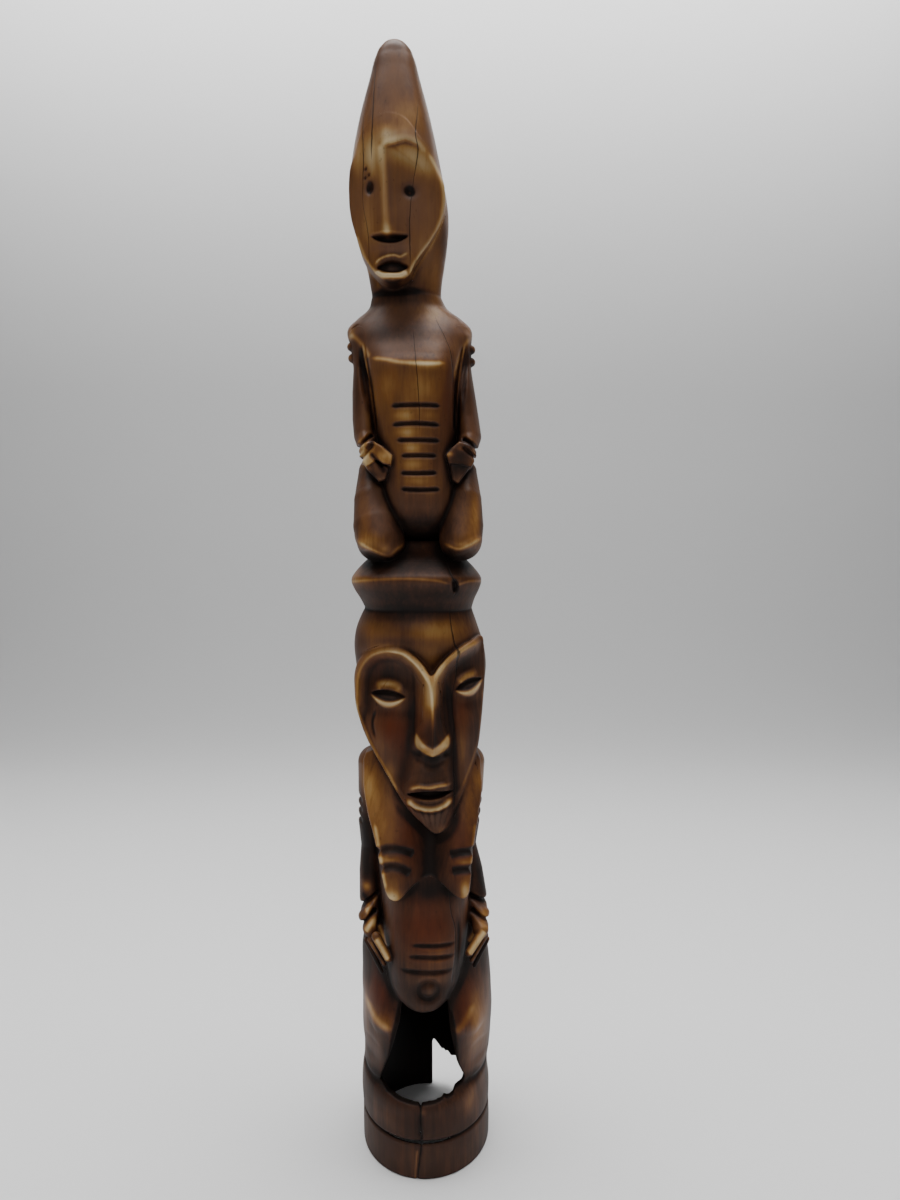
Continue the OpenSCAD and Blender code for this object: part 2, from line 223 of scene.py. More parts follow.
def prism(shape, low_y, high_y, low, high):
    """A front-view outline pushed through from low_y to high_y."""
    def distance(x, y, z):
        return np.maximum(shape(x[:, 0, :], z[:, 0, :])[:, None, :], np.maximum(low_y - y, y - high_y))
    return (distance, [low[0] - MARGIN, low_y - MARGIN, low[1] - MARGIN],
            [high[0] + MARGIN, high_y + MARGIN, high[1] + MARGIN])


def soft_min(a, b, soft):
    if soft <= 0:
        return np.minimum(a, b)
    near = np.maximum(soft - np.abs(a - b), 0)
    return np.minimum(a, b) - near * near / (4 * soft)


def soft_max(a, b, soft):
    return -soft_min(-a, -b, soft)


# ---- The clay ---------------------------------------------------------------------------------

class Clay:
    """Bone as a signed distance in millimetres on a regular grid: negative inside."""

    def __init__(self, low, high, pitch):
        self.pitch = pitch
        self.low = np.array(low, float)
        self.axes = [np.arange(a, b + pitch, pitch, dtype=np.float32) for a, b in zip(low, high)]
        self.field = np.full([len(values) for values in self.axes], FAR, np.float32)

    def window(self, low, high):
        """The slices of the grid that hold a box, and that box's three coordinate arrays."""
        where, coordinates = [], []
        for axis, values in enumerate(self.axes):
            first = max(int(np.searchsorted(values, low[axis])) - 1, 0)
            last = min(int(np.searchsorted(values, high[axis])) + 1, len(values))
            where.append(slice(first, last))
            shape = [1, 1, 1]
            shape[axis] = -1
            coordinates.append(values[first:last].reshape(shape))
        return tuple(where), coordinates

    def add(self, form, soft=1.0):
        distance, low, high = form
        where, (x, y, z) = self.window(low, high)
        self.field[where] = soft_min(self.field[where], distance(x, y, z).astype(np.float32), soft)

    def cut(self, form, soft=0.6):
        distance, low, high = form
        where, (x, y, z) = self.window(low, high)
        self.field[where] = soft_max(self.field[where], -distance(x, y, z).astype(np.float32), soft)

    def face(self, shape, depth, low, high, back, soft=0.8):
        """Sets the front surface to y = depth(x, z) inside a front-view outline, back to y = back."""
        where, (x, y, z) = self.window([low[0] - MARGIN, -60, low[1] - MARGIN],
                                       [high[0] + MARGIN, back + MARGIN, high[1] + MARGIN])
        flat_x, flat_z = x[:, 0, :], z[:, 0, :]
        edge = shape(flat_x, flat_z).astype(np.float32)[:, None, :]
        surface = depth(flat_x, flat_z)
        slope_x, slope_z = np.gradient(surface, self.pitch)
        steep = np.sqrt(1 + slope_x ** 2 + slope_z ** 2).astype(np.float32)[:, None, :]
        ahead = (surface.astype(np.float32)[:, None, :] - y) / steep
        body = soft_max(soft_max(ahead, edge, soft), y - back, soft)
        field = soft_min(self.field[where], body, soft)
        air = soft_max(-ahead, edge, soft)
        self.field[where] = soft_max(field, -air, soft * 0.5)

    def etch(self, mask, depth, low, high, front=0.0, back=-60.0):
        """Lowers the surface by depth under a front-view mask, between y = back and y = front."""
        where, (x, y, z) = self.window([low[0], back, low[1]], [high[0], front, high[1]])
        amount = mask(x[:, 0, :], z[:, 0, :]).astype(np.float32)[:, None, :]
        fade = smoothstep(0, 4, front - y) if front < 40 else 1.0
        fade = fade * smoothstep(0, 4, y - back) if back > -60 else fade
        self.field[where] += depth * amount * fade

    def band(self, at, width, depth):
        """Lowers the surface by depth all round, in a band about the height at."""
        where, (x, y, z) = self.window([-60, -60, at - 3 * width], [60, 60, at + 3 * width])
        self.field[where] += depth * np.exp(-((z - at) / width) ** 2).astype(np.float32)


def etch_line(clay, points, width, depth, **options):
    """Cuts a line along a curve given in the front view. A negative depth raises a ridge."""
    reach = np.array(points, float)
    taper = options.pop("taper", 0.25)
    sharp = options.pop("sharp", False)
    low, high = reach.min(0) - width - 2, reach.max(0) + width + 2
    clay.etch(line(points, width, taper, sharp), depth, low, high, **options)


# ---- The foot, legs and hollow ----------------------------------------------------------------

FOOT_ROWS = [
    (-1, 2.4, 0, 26.8, 34.4, 34.4, 2.0),
    (8, 2.4, 0, 26.9, 34.5, 34.5, 2.0),
    (14, 2.3, 0, 26.8, 34.5, 34.5, 2.0),
    (24, 2.1, 0, 27.1, 34.7, 34.5, 2.0),
    (30, 1.9, 0, 26.6, 33.9, 34.2, 2.0),
    (34, 2.2, 0, 26.3, 30.6, 33.6, 2.0),
    (39, 2.7, 0, 26.6, 29.8, 33.4, 2.0),
    (48, 2.7, 0, 27.3, 31.7, 33.6, 2.0),
    (58, 2.9, 0, 27.5, 34.0, 34.2, 2.0),
    (62, 2.8, 0, 27.4, 33.4, 34.5, 2.0),
    (67, 2.6, 0, 27.4, 30.8, 34.7, 2.0),
    (74, 2.4, 0, 27.1, 27.8, 34.8, 2.0),
    (84, 1.8, 0, 26.4, 25.4, 33.6, 2.0),
    (92, 1.7, 0, 24.6, 22.4, 31.0, 2.0),
    (98, 1.6, 0, 21.0, 18.6, 27.0, 2.0),
]
HOLLOW_ROWS = [
    (-6, 2.4, 0, 23.6, 31.3, 31.2, 2.0),
    (29, 2.2, 0, 23.6, 30.9, 31.0, 2.0),
    (36, 2.5, 1, 22.6, 27.5, 29.5, 2.0),
    (50, 2.6, 1, 21.8, 25.0, 28.5, 2.0),
    (66, 2.6, 2, 18.0, 22.0, 25.0, 2.0),
    (76, 2.6, 2, 12.0, 15.0, 18.0, 2.0),
    (82, 2.6, 3, 4.0, 5.0, 6.0, 2.0),
]
LEG_GAP = [
    (-6.5, 72), (-7.6, 60.2), (-10.9, 48.6), (-15.2, 36), (-15.9, 33.4), (-12.5, 31.9), (-8, 30.6),
    (-2, 30.0), (0.2, 29.9), (0.9, 28.6), (1.6, 29.9), (6, 30.2), (9, 30.9), (10.3, 31.9), (11.2, 31.0),
    (13.6, 31.6), (14.4, 33.4), (17.4, 34.1), (18.3, 36.4), (15.2, 44.1), (12.6, 56.9), (11.2, 72),
]
BACK_GAP = [
    (4.4, -6), (4.4, 20.4), (5.1, 22), (7.4, 19.2), (8.9, 17.2), (9.6, 18.1), (10.4, 16.7), (11.6, 17.4),
    (13, 15.4), (16, 16.6), (18.6, 13.8), (20.4, 11), (21.6, 4), (21.6, -6),
]
RING_LINE_Z = 15.2
RING_CRACK = [(0.9, 31), (1.0, 24), (1.3, 15), (0.5, 7), (-0.5, -1)]


def leg_gap():
    """The way between the legs into the hollow, wider towards the front."""
    shape = outline(LEG_GAP, 1)

    def distance(x, y, z):
        flare = 0.5 * np.clip(-y - 25.5, 0, 9) * smoothstep(34, 42, z)
        return np.maximum(shape(x[:, 0, :], z[:, 0, :])[:, None, :] - flare, y - 6)
    return distance, [-32, -50, 20], [36, 12, 80]


def sculpt_foot(clay):
    clay.add(loft(FOOT_ROWS), 0)
    # The shins are flatter than the tube, and the knees stand forward in a soft ridge.
    for knee in ([(-21, 57.5), (-15, 59.2), (-9.5, 60)], [(27, 56.5), (20, 58.4), (13.5, 58.8)]):
        etch_line(clay, knee, 5.0, -0.9, taper=0.3, front=-8)
    for shin in ([(-19.5, 52), (-20.5, 38)], [(24, 51), (25, 38)]):
        etch_line(clay, shin, 5.0, 0.5, taper=0.3, front=0)
    for heel in ([(-24.5, 33.6), (-19, 33), (-14.5, 33.6)], [(29.5, 33.6), (23, 33.2), (18, 34.4)]):
        etch_line(clay, heel, 1.8, 0.7, taper=0.2, front=0)
    clay.band(RING_LINE_Z, 0.55, 1.0)
    etch_line(clay, RING_CRACK, 0.55, 0.6, taper=0, sharp=True, front=-20)
    etch_line(clay, [(-0.6, 30.5), (0.2, 25), (0.8, 18)], 1.6, 0.3, taper=0.1, front=-20)


def hollow_foot(clay):
    clay.cut(loft(HOLLOW_ROWS), 0.8)
    clay.cut(leg_gap(), 0.5)
    clay.cut(prism(outline(BACK_GAP, 1), 14, 60, (4, -6), (22, 22)), 0.3)


# ---- The lower figure -------------------------------------------------------------------------

LOWER_BACK_ROWS = [
    (64, 2.6, 6, 25.2, 12, 27.0, 2.2),
    (76, 2.4, 6, 25.6, 12, 29.4, 2.2),
    (86, 2.2, 6, 24.2, 12, 27.6, 2.2),
    (96, 1.9, 6, 20.8, 12, 23.0, 2.3),
    (108, 1.6, 6, 19.6, 12, 20.6, 2.4),
    (124, 1.0, 6, 19.8, 12, 21.2, 2.4),
    (146, 0.6, 6, 21.6, 12, 22.4, 2.4),
    (158, 0.6, 6, 22.2, 12, 21.2, 2.3),
    (168, 1.0, 6, 19.6, 12, 18.6, 2.2),
]
BELLY_ROWS = [
    (65.2, 2.2, -8, 4.6, 20, 6, 2.2),
    (66.8, 2.2, -7, 8.8, 24.5, 8, 2.4),
    (70.0, 2.0, -4, 12.4, 29.2, 10, 2.7),
    (74, 2.0, -1, 14.8, 32.8, 12, 2.9),
    (80, 2.2, 0, 16.2, 34.8, 12, 2.9),
    (88, 2.4, 0, 17.4, 35.2, 12, 2.8),
    (96, 2.6, 0, 18.0, 34.8, 12, 2.6),
    (105, 2.6, 0, 18.8, 33.0, 12, 2.4),
    (115, 2.2, 0, 19.4, 30.6, 12, 2.4),
    (128, 1.8, 0, 19.8, 27.6, 12, 2.4),
    (145, 1.4, 0, 20.6, 24.5, 12, 2.3),
    (160, 1.2, 0, 21.4, 20.5, 12, 2.2),
    (168, 1.0, 0, 20.0, 17.5, 12, 2.2),
]
BIB = [
    (-22.5, 158), (-20.9, 146), (-17.8, 136.5), (-15.7, 129), (-13.9, 121), (-12.5, 115.8), (-10.8, 113),
    (-8.2, 112.2), (-6, 113.6), (-3, 116.8), (1.2, 119.8), (4.9, 121.2), (8.5, 119), (12, 116.2),
    (15.4, 113.8), (17.8, 113.2), (19.8, 115.2), (20.8, 121), (21.6, 129), (22.8, 137), (24.8, 147),
    (25.4, 158), (20, 169), (-18, 169),
]
RIGHT_BREAST_BANDS = [
    [(-16.6, 130.4), (-11.5, 132), (-6, 131.4), (-1.6, 129.6)],
    [(-15, 124.4), (-10.5, 125.7), (-6.4, 124.8), (-3, 122.6)],
]
LEFT_BREAST_BANDS = [
    [(12.6, 129.6), (17, 130.8), (22.8, 131)],
    [(13.4, 123.6), (17, 124.4), (22, 124.6)],
]
BELLY_LINES = [
    [(-3.2, 95.2), (5, 94.9), (15.2, 94.4)],
    [(-4.4, 90.8), (5, 90.4), (15.0, 89.8)],
    [(-7.6, 85.2), (2, 84.5), (14.4, 84.2)],
]
NAVEL = (4.2, 76.5)
LOWER_ARMS = {
    RIGHT: ([(-19.6, 0, 160), (-20.5, 0, 147), (-20.9, 0, 135), (-20.3, 0, 125), (-20.8, -1, 114),
             (-20.4, -4, 104), (-20.0, -10, 98)], [6.6, 5.6, 5.2, 4.8, 5.0, 5.1, 4.4]),
    LEFT: ([(20.4, 0, 160), (20.8, 0, 147), (19.9, 0, 135), (18.7, 0, 125), (21.4, -1, 114),
            (22.9, -4, 104), (23.6, -9, 98)], [6.8, 5.6, 5.2, 4.8, 5.0, 5.2, 4.6]),
}
LOWER_HANDS = {
    RIGHT: [([(-21.4, -13, 99), (-19.8, -19.5, 95.5)], [3.9, 3.0]),
            ([(-17.0, -24.5, 94.6), (-11.8, -28.6, 87.4)], [1.9, 1.6]),
            ([(-19.6, -22.5, 92.5), (-13.6, -27.6, 84.6)], [1.2, 0.9]),
            ([(-21.2, -20.5, 91.5), (-14.6, -26.4, 81.0)], [1.2, 0.8])],
    LEFT: [([(25.0, -12, 99), (25.0, -18, 94.5)], [4.0, 3.2]),
           ([(26.2, -18.5, 95.0), (20.2, -26.0, 88.6)], [2.0, 1.6]),
           ([(27.2, -17, 92.0), (21.2, -25.2, 85.0)], [1.2, 0.9]),
           ([(27.8, -15, 89.5), (22.4, -23.8, 82.2)], [1.2, 0.8])],
}


def bib_depth(x, z):
    """The chest: two long breasts that hang from the shoulders, with a valley between them."""
    hang = curve([(112, -33.4), (118, -33.6), (128, -31.4), (140, -27.6), (152, -23.6), (170, -19.0)], z)
    valley = 5.4 * np.exp(-((x - 4.6) / 6.5) ** 2) * smoothstep(158, 140, z)
    right = 2.4 * np.clip((-9.5 - x) / 9, 0, 2) ** 2
    left = 2.6 * np.clip((x - 17.5) / 6, 0, 2) ** 2
    return hang + valley + right + left


def sculpt_lower_body(clay):
    clay.add(loft(BELLY_ROWS), 0.8)
    for points, radii in LOWER_ARMS.values():
        clay.add(limb(points, radii, 1.6), 0.8)
    clay.face(outline(BIB), bib_depth, (-23, 112), (26, 170), -8, 1.0)
    for fingers in LOWER_HANDS.values():
        for points, radii in fingers:
            clay.add(limb(points, radii, 1.1), 0.5)
    for bands, low_x, high_x in ((RIGHT_BREAST_BANDS, -20, 1), (LEFT_BREAST_BANDS, 11, 25)):
        for points in bands:
            etch_line(clay, points, 2.3, 1.1, taper=0.1, front=-20)
    for points in BELLY_LINES:
        etch_line(clay, points, 1.3, 1.2, taper=0.3, front=-20)
    # Navel: a ring cut round a button.
    def ring(x, z):
        away = np.hypot(x - NAVEL[0], z - NAVEL[1])
        return np.exp(-((away - 3.7) / 1.4) ** 2)
    clay.etch(ring, 1.5, (-4, 69), (12, 84), front=-20)
    # The belly stops short at a long crack on its left side.
    etch_line(clay, [(15.8, 104), (16.0, 96), (15.2, 86), (14.6, 77)], 1.2, 0.6, taper=0.25, front=-18)
    # Bands at the elbows and scars on the upper arms.
    for points in ([(-27, 99.5), (-22.5, 103), (-17.5, 107)], [(-26, 94.6), (-22, 98), (-17.8, 101.6)]):
        etch_line(clay, points, 1.5, 1.6, taper=0.1, front=6)
    for points in ([(30, 101.5), (26, 103.6), (20, 107)], [(30, 96.6), (26.5, 98.4), (21, 101.6)]):
        etch_line(clay, points, 1.5, 1.6, taper=0.1, front=6)
    for rise in (0, 4.3, 8.6):
        etch_line(clay, [(-27.5, 138.5 + rise), (-24.2, 135.8 + rise)], 1.3, 1.5, taper=0.2, front=8)
        etch_line(clay, [(27.5, 138.5 + rise), (24.2, 135.8 + rise)], 1.3, 1.5, taper=0.2, front=8)
    # The back: spine, waist and buttocks.
    etch_line(clay, [(0.8, 164), (1.2, 140), (1.8, 112), (2.2, 96)], 4.0, 1.8, taper=0.15, front=60, back=0)
    etch_line(clay, [(2.2, 93), (2.5, 80), (2.6, 66)], 3.0, 3.0, taper=0.2, front=60, back=0)
    for side in (RIGHT, LEFT):
        etch_line(clay, [(1 + side * 5, 152), (1 + side * 13, 146), (1 + side * 17, 134)], 3.2, 1.1,
                  taper=0.3, front=60, back=0)
        etch_line(clay, [(2.4 + side * 3, 64.5), (2.4 + side * 13, 62.5), (2.4 + side * 24, 66)], 2.6, 1.6,
                  taper=0.2, front=60, back=0)


# ---- The lower head ---------------------------------------------------------------------------

LOWER_HEAD_ROWS = [
    (160, 1.2, 2, 20.0, 17.0, 20.0, 2.1),
    (168, 1.2, 2, 21.4, 18.0, 22.5, 2.1),
    (180, 1.3, 1, 23.8, 20.0, 25.6, 2.1),
    (192, 1.0, 0, 25.8, 22.0, 27.4, 2.1),
    (203, 0.4, 0, 27.2, 23.0, 28.0, 2.1),
    (211, -0.5, 0, 26.8, 25.2, 27.2, 2.2),
    (217, -1.0, 0, 25.4, 25.8, 25.8, 2.2),
    (222, -0.9, 0, 23.6, 24.6, 24.2, 2.2),
    (227, -0.5, 0, 21.4, 22.6, 22.6, 2.3),
]
FACE_EDGE = [(-26.4, 193), (-26.4, 199), (-24.6, 204.4), (-20.4, 208.8), (-14.0, 211.2), (-7.4, 210.9),
             (-2.4, 208.6), (2.0, 204.4), (5.3, 200.4), (8.4, 203.8), (12.2, 207.8), (16.4, 210.8),
             (21, 213.2), (25.6, 214.4), (27.3, 209), (27.2, 200), (26.2, 188), (25.2, 178), (24.0, 170),
             (21.4, 162), (18.2, 154.6), (15.8, 148.6), (13.8, 143.6), (11.2, 139.4), (7.9, 137.2),
             (5, 138.2), (1.4, 141.6), (-2.6, 145.6), (-5.6, 149), (-9.6, 155.2), (-14.6, 163.2),
             (-18.9, 170), (-22.6, 176.6), (-25.3, 185)]
RIGHT_BROW = [(-23.6, 180), (-25.0, 188), (-25.0, 196), (-23.4, 202), (-19.2, 207.0), (-13, 209.4),
              (-7, 209.0), (-2.6, 206.4), (1.4, 202.4), (4.2, 198.4), (5.4, 193), (5.8, 186)]
LEFT_BROW = [(5.9, 187), (6.0, 193), (6.8, 198.4), (9.0, 202.2), (12.4, 205.8), (16.4, 208.8), (21, 211.2),
             (25.6, 212.6)]
# Each eye: (middle, half length, half height of the slit, turn) and upper lid.
EYES = [
    ((-12.2, 191.4), 8.0, 2.5, -2, [(-17.4, 193.4), (-14.8, 195.6), (-12, 196.4), (-8.8, 195.6),
                                    (-6.2, 193.2)]),
    ((20.2, 195.4), 6.4, 2.5, 16, [(15.6, 196.0), (18, 198.4), (20.8, 199.8), (23.8, 200.0)]),
]
NOSE_ROWS = [
    # height, left foot, ridge, right foot, how far it stands out
    (164, -1.6, 6.1, 13.0, 6.0),
    (172, -1.4, 5.9, 12.6, 7.4),
    (180, -1.6, 6.0, 10.9, 6.6),
    (190, -1.4, 5.8, 10.0, 5.4),
    (198, -1.6, 5.2, 10.2, 3.2),
    (206, -2.0, 5.2, 11.0, 0.6),
]
# The cream underside of the nose and its two wings: partly pale bone, partly painted light on a facet that
# faces down.
NOSE_BASE = [(-0.6, 177.4), (2.0, 175.0), (5.8, 172.9), (9.4, 175.0), (12.0, 176.6), (12.5, 173.4),
             (10.6, 170.8), (5.6, 169.0), (2.0, 170.4), (-0.4, 171.8), (-1.2, 174.6)]
MOUTH = ((4.6, 153.5), 9.8, 1.9, 3)
CHEEK_DENT = [(-17.0, 186.0), (-18.5, 180), (-17.2, 173.6)]
UPPER_LIP = [(-4.0, 155.0), (0.0, 156.9), (4.6, 157.0), (9, 157.6), (13.6, 157.2)]
LOWER_LIP = [(-4.8, 151.4), (-1, 148.9), (4.4, 147.8), (9.6, 148.8), (13.9, 151.8)]


def lens(shape, grow=1.0, soft=0.55, below=False):
    """A mask for a slit: a pointed almond given as (middle, half length, half height, turn)."""
    (mid_x, mid_z), length, height, turn = shape
    c, s = math.cos(math.radians(turn)), math.sin(math.radians(turn))

    def mask(x, z):
        u = ((x - mid_x) * c + (z - mid_z) * s) / length
        v = (z - mid_z) * c - (x - mid_x) * s
        inside = smoothstep(0, soft, 1 - u * u - np.abs(v) / (height * grow))
        return inside * smoothstep(0.4, -0.6, v) if below else inside
    return mask


def shape_mask(points, soft=0.6):
    """A mask that is 1 inside a closed shape in the front view."""
    shape = outline(points, 2)
    return lambda x, z: smoothstep(soft, -soft, shape(x, z))


def front_of(rows, x, z):
    """Where a loft's front surface lies at each (x, z)."""
    cx, cy, half_width, front, _, square = np.moveaxis(table(rows, z), -1, 0)
    across = np.clip(np.abs(x - cx) / half_width, 0, 1)
    return cy - front * (1 - across ** square) ** (1 / square)


def lower_face_depth(x, z):
    """The shield face, turned a little to its left: brows, hooded eyes, blade nose, lips and beard."""
    middle = 5.4 - 0.01 * (z - 180)
    across = np.where(x < middle, 15.5 * ((x - middle) / 31) ** 2, 16.0 * ((x - middle) / 21.5) ** 2)
    down = curve([(136, 1.6), (148, 0.6), (158, 0.2), (172, 0.0), (188, 0.8), (202, 1.4), (216, 3.0)], z)
    depth = -28.4 + across + down
    # Eye hollows, and the soft channels that run from them down past the nose and mouth.
    depth = depth + 4.6 * spot((-10.8, 196), (12.0, 9.5))(x, z) + 4.2 * spot((18.6, 198), (8.4, 10))(x, z)
    right_hollow = [(-1.4, 193), (-2.4, 182), (-4.2, 170), (-6.2, 160), (-6.4, 150)]
    left_hollow = [(11.0, 199), (12.2, 186), (13.8, 172), (14.8, 160), (14.6, 147)]
    depth = depth + 2.2 * line(right_hollow, 7.0, 0.25)(x, z)
    depth = depth + 2.4 * line(left_hollow, 4.0, 0.2)(x, z)
    depth = depth - 1.6 * spot((-13.5, 178), (7, 10), -15)(x, z) - 1.4 * spot((19.5, 177), (4, 11))(x, z)
    # The eyes bulge in their hollows, each with two lids and a slit.
    for eye in EYES:
        mid, length, height, turn, upper = eye
        depth = depth - 3.6 * spot(mid, (length * 0.95, 5.0), turn)(x, z)
        depth = depth - 0.9 * line(upper, 2.6, 0.2)(x, z) - 1.1 * lens(eye[:4], 2.1, 0.4, True)(x, z)
        depth = depth + 2.3 * lens(eye[:4])(x, z)
    # Brows: a band that is steep above and slopes into the hollow below.
    brows = np.maximum(*[3.2 * line(brow, 5.0, 0.12)(x, z) + 0.6 * line(brow, 1.5, 0.1, sharp=True)(x, z)
                         for brow in (RIGHT_BROW, LEFT_BROW)])
    on_nose = smoothstep(7, 4, np.abs(x - 5.6)) * smoothstep(200, 188, z)
    depth = depth - brows * (1 - on_nose)
    # Nose: two planes that meet in a thin ridge, cut off slanting at the base, with flared wings.
    left, ridge, right, tall = np.moveaxis(table(NOSE_ROWS, z), -1, 0)
    rise = np.where(x < ridge, (x - left) / (ridge - left), (right - x) / (right - ridge))
    rise = np.clip(rise, 0, 1) ** 0.9
    cut = smoothstep(168.0, 169.4, z)
    nose = tall * rise * cut
    wings = 3.0 * spot((0.9, 173.4), (2.4, 3.4), 20)(x, z)
    wings = wings + 3.2 * spot((11.0, 173.2), (2.2, 3.2), -20)(x, z)
    under = np.clip(173.4 + 0.5 * np.abs(x - 5.9) - z, 0, 6)
    depth = depth - nose - (wings - 0.65 * under * np.clip(rise * 3, 0, 1)) * cut
    # Muzzle, lips and mouth.
    depth = depth - 3.4 * spot((4.8, 156), (9.4, 8.0))(x, z)
    depth = depth + 0.8 * line([(-2.2, 168.2), (3, 165.4), (7, 164.8), (12.6, 167.4)], 2.6, 0.2)(x, z)
    depth = depth - 1.2 * line(UPPER_LIP, 1.8, 0.2)(x, z) + 3.8 * lens(MOUTH)(x, z)
    depth = depth - 1.9 * line(LOWER_LIP, 2.3, 0.15)(x, z)
    # Beard: grooves that run down from the lip to the point.
    beard = smoothstep(148.6, 146.4, z - 0.045 * (x - 4.6) ** 2)
    fan = (x - 6.8) / np.clip(0.16 * (z - 132.5), 0.9, 3)
    return depth - 0.8 * beard + 0.22 * beard * np.cos(fan * 5.2)


def sculpt_lower_head(clay):
    clay.add(loft(LOWER_HEAD_ROWS), 1.5)
    clay.face(outline(FACE_EDGE), lower_face_depth, (-27, 137), (28, 216), -9, 0.9)
    # A dent in the side of the cheek.
    etch_line(clay, CHEEK_DENT, 1.2, 0.7, taper=0.3, front=-8)
    # Hairline round the back and the nape below it.
    clay.etch(spot((1, 166), (30, 4.5)), 2.2, (-30, 156), (30, 176), front=60, back=4)
    for side in (RIGHT, LEFT):
        etch_line(clay, [(side * 26, 200), (side * 21, 189), (side * 12, 181), (0.6, 178)], 1.6, 0.9,
                  taper=0.05, front=60, back=6)


# ---- The collar and the upper figure ----------------------------------------------------------

COLLAR_ROWS = [
    (224.5, -0.4, 0, 21.8, 23.2, 22.6, 2.5),
    (229.0, -0.8, 0, 23.6, 25.4, 24.2, 2.6),
    (233.4, -1.1, 0, 25.9, 28.3, 26.4, 2.7),
    (236.2, -1.2, 0, 26.8, 29.5, 27.3, 2.7),
    (237.6, -1.2, 0, 26.7, 29.5, 27.2, 2.7),
    (240.4, -1.2, 0, 25.0, 27.0, 25.4, 2.6),
    (244.0, -1.2, 0, 21.8, 23.2, 22.4, 2.5),
    (248.0, -1.0, 0, 17.6, 18.6, 19.0, 2.4),
    (252.5, -0.8, 0, 13.0, 15.0, 16.0, 2.3),
]
UPPER_BACK_ROWS = [
    (250, -1.2, 5, 14.0, 14, 12.0, 2.3),
    (258, -1.2, 5, 17.5, 15, 12.6, 2.4),
    (272, -1.2, 5, 18.6, 15, 12.6, 2.5),
    (292, -1.4, 5, 18.4, 14, 12.6, 2.5),
    (312, -2.6, 5, 18.8, 14, 13.4, 2.4),
    (330, -3.4, 5, 19.6, 13, 14.6, 2.3),
    (340, -4.0, 4, 18.0, 10, 13.0, 2.2),
]
UPPER_TORSO_ROWS = [
    (253, 0.4, 0, 8.0, 10.0, 14.0, 2.2),
    (256, 0.4, 0, 11.0, 17.6, 15.0, 2.3),
    (260, 0.6, 0, 13.6, 22.6, 16.0, 2.5),
    (266, 0.6, 0, 15.0, 25.0, 16.6, 2.7),
    (272, 0.4, 0, 15.6, 25.6, 17.2, 2.8),
    (280, 0.0, 0, 15.6, 25.6, 17.5, 2.9),
    (288, -0.5, 0, 15.8, 25.6, 17.5, 3.0),
    (298, -1.1, 0, 16.8, 26.0, 17.6, 3.1),
    (310, -1.9, 0, 17.4, 26.8, 18.2, 3.1),
    (317, -2.3, 0, 18.2, 27.6, 18.6, 3.0),
    (320.6, -2.6, 0, 19.2, 27.8, 19.0, 2.9),
    (326, -3.0, 0, 21.2, 24.8, 19.6, 2.7),
    (331, -3.4, 0, 23.4, 21.6, 20.0, 2.4),
    (335.6, -3.8, 0, 25.4, 18.8, 19.8, 2.2),
    (339.4, -4.0, 0, 25.2, 16.2, 18.6, 2.1),
    (343, -4.1, 0, 21.6, 14.0, 17.0, 2.1),
    (347, -4.5, 0, 16.6, 12.6, 15.4, 2.0),
    (352, -5.2, 0, 14.2, 12.0, 14.4, 2.0),
]
UPPER_ARMS = {
    RIGHT: ([(-22.4, -1, 334), (-22.2, -3, 323), (-21.8, -4, 313), (-21.8, -5, 302), (-21.4, -7, 295.5),
             (-20.0, -13, 290)], [5.8, 4.6, 5.4, 5.3, 5.0, 4.2]),
    LEFT: ([(15.6, -1, 334), (16.6, -3, 323), (17.2, -4, 313), (19.0, -5, 302), (20.1, -7, 295),
            (19.4, -13, 289.5)], [5.8, 4.6, 5.5, 5.4, 5.2, 4.2]),
}
# Each hand is carved as flat-faced blocks: (outline, (x, y, z) on its face, lean across, lean up).
UPPER_HANDS = {
    RIGHT: [([(-23.2, 286), (-21.4, 290), (-17.8, 292.2), (-13.6, 289.6), (-9.8, 286), (-10.2, 281.8),
              (-12.6, 282.6), (-16.8, 283.8), (-20.2, 281.6)], (-17, -22.6, 287), -0.42, 0.20),
            ([(-22.6, 284.6), (-19.8, 280.6), (-15.4, 276.2), (-12.8, 276.8), (-11.6, 281.4),
              (-16.6, 284.6)], (-16, -21.2, 281), -0.30, -0.25)],
    LEFT: [([(11.2, 286.2), (13.4, 289.2), (16.2, 291.8), (20.0, 290.6), (23.4, 286.2), (20.8, 281.6),
             (17.2, 282.6), (12.4, 282.6)], (17, -22.4, 286.6), 0.36, 0.20),
           ([(12.4, 283.4), (17, 284.4), (22.0, 284.2), (18.8, 279.6), (15.6, 275.4), (13.4, 276.6)],
            (17, -20.8, 281), 0.26, -0.25)],
}
UPPER_LEGS = {
    RIGHT: [([(-18.4, -3, 281), (-17.6, -10, 269), (-16.2, -14, 259), (-15.0, -17.0, 253.4)],
             [6.6, 8.6, 10.0, 9.6]),
            ([(-17.4, -4, 256), (-16.0, 9, 254), (-12.4, 19, 251.5)], [9.4, 7.6, 5.4])],
    LEFT: [([(17.2, -3, 281), (17.2, -10, 269), (17.0, -14, 259), (16.8, -17.0, 253.4)],
            [6.4, 8.2, 9.0, 8.6]),
           ([(17.0, -4, 256), (15.0, 9, 254), (10.6, 19, 251.5)], [9.0, 7.4, 5.4])],
}
# The crease of each knee: a point on it, and the direction its underside faces.
KNEES = {RIGHT: ((-13, -27.0, 247.6), (-0.34, -0.40, -0.85)),
         LEFT: ((15, -26.6, 249.0), (0.22, -0.42, -0.88))}
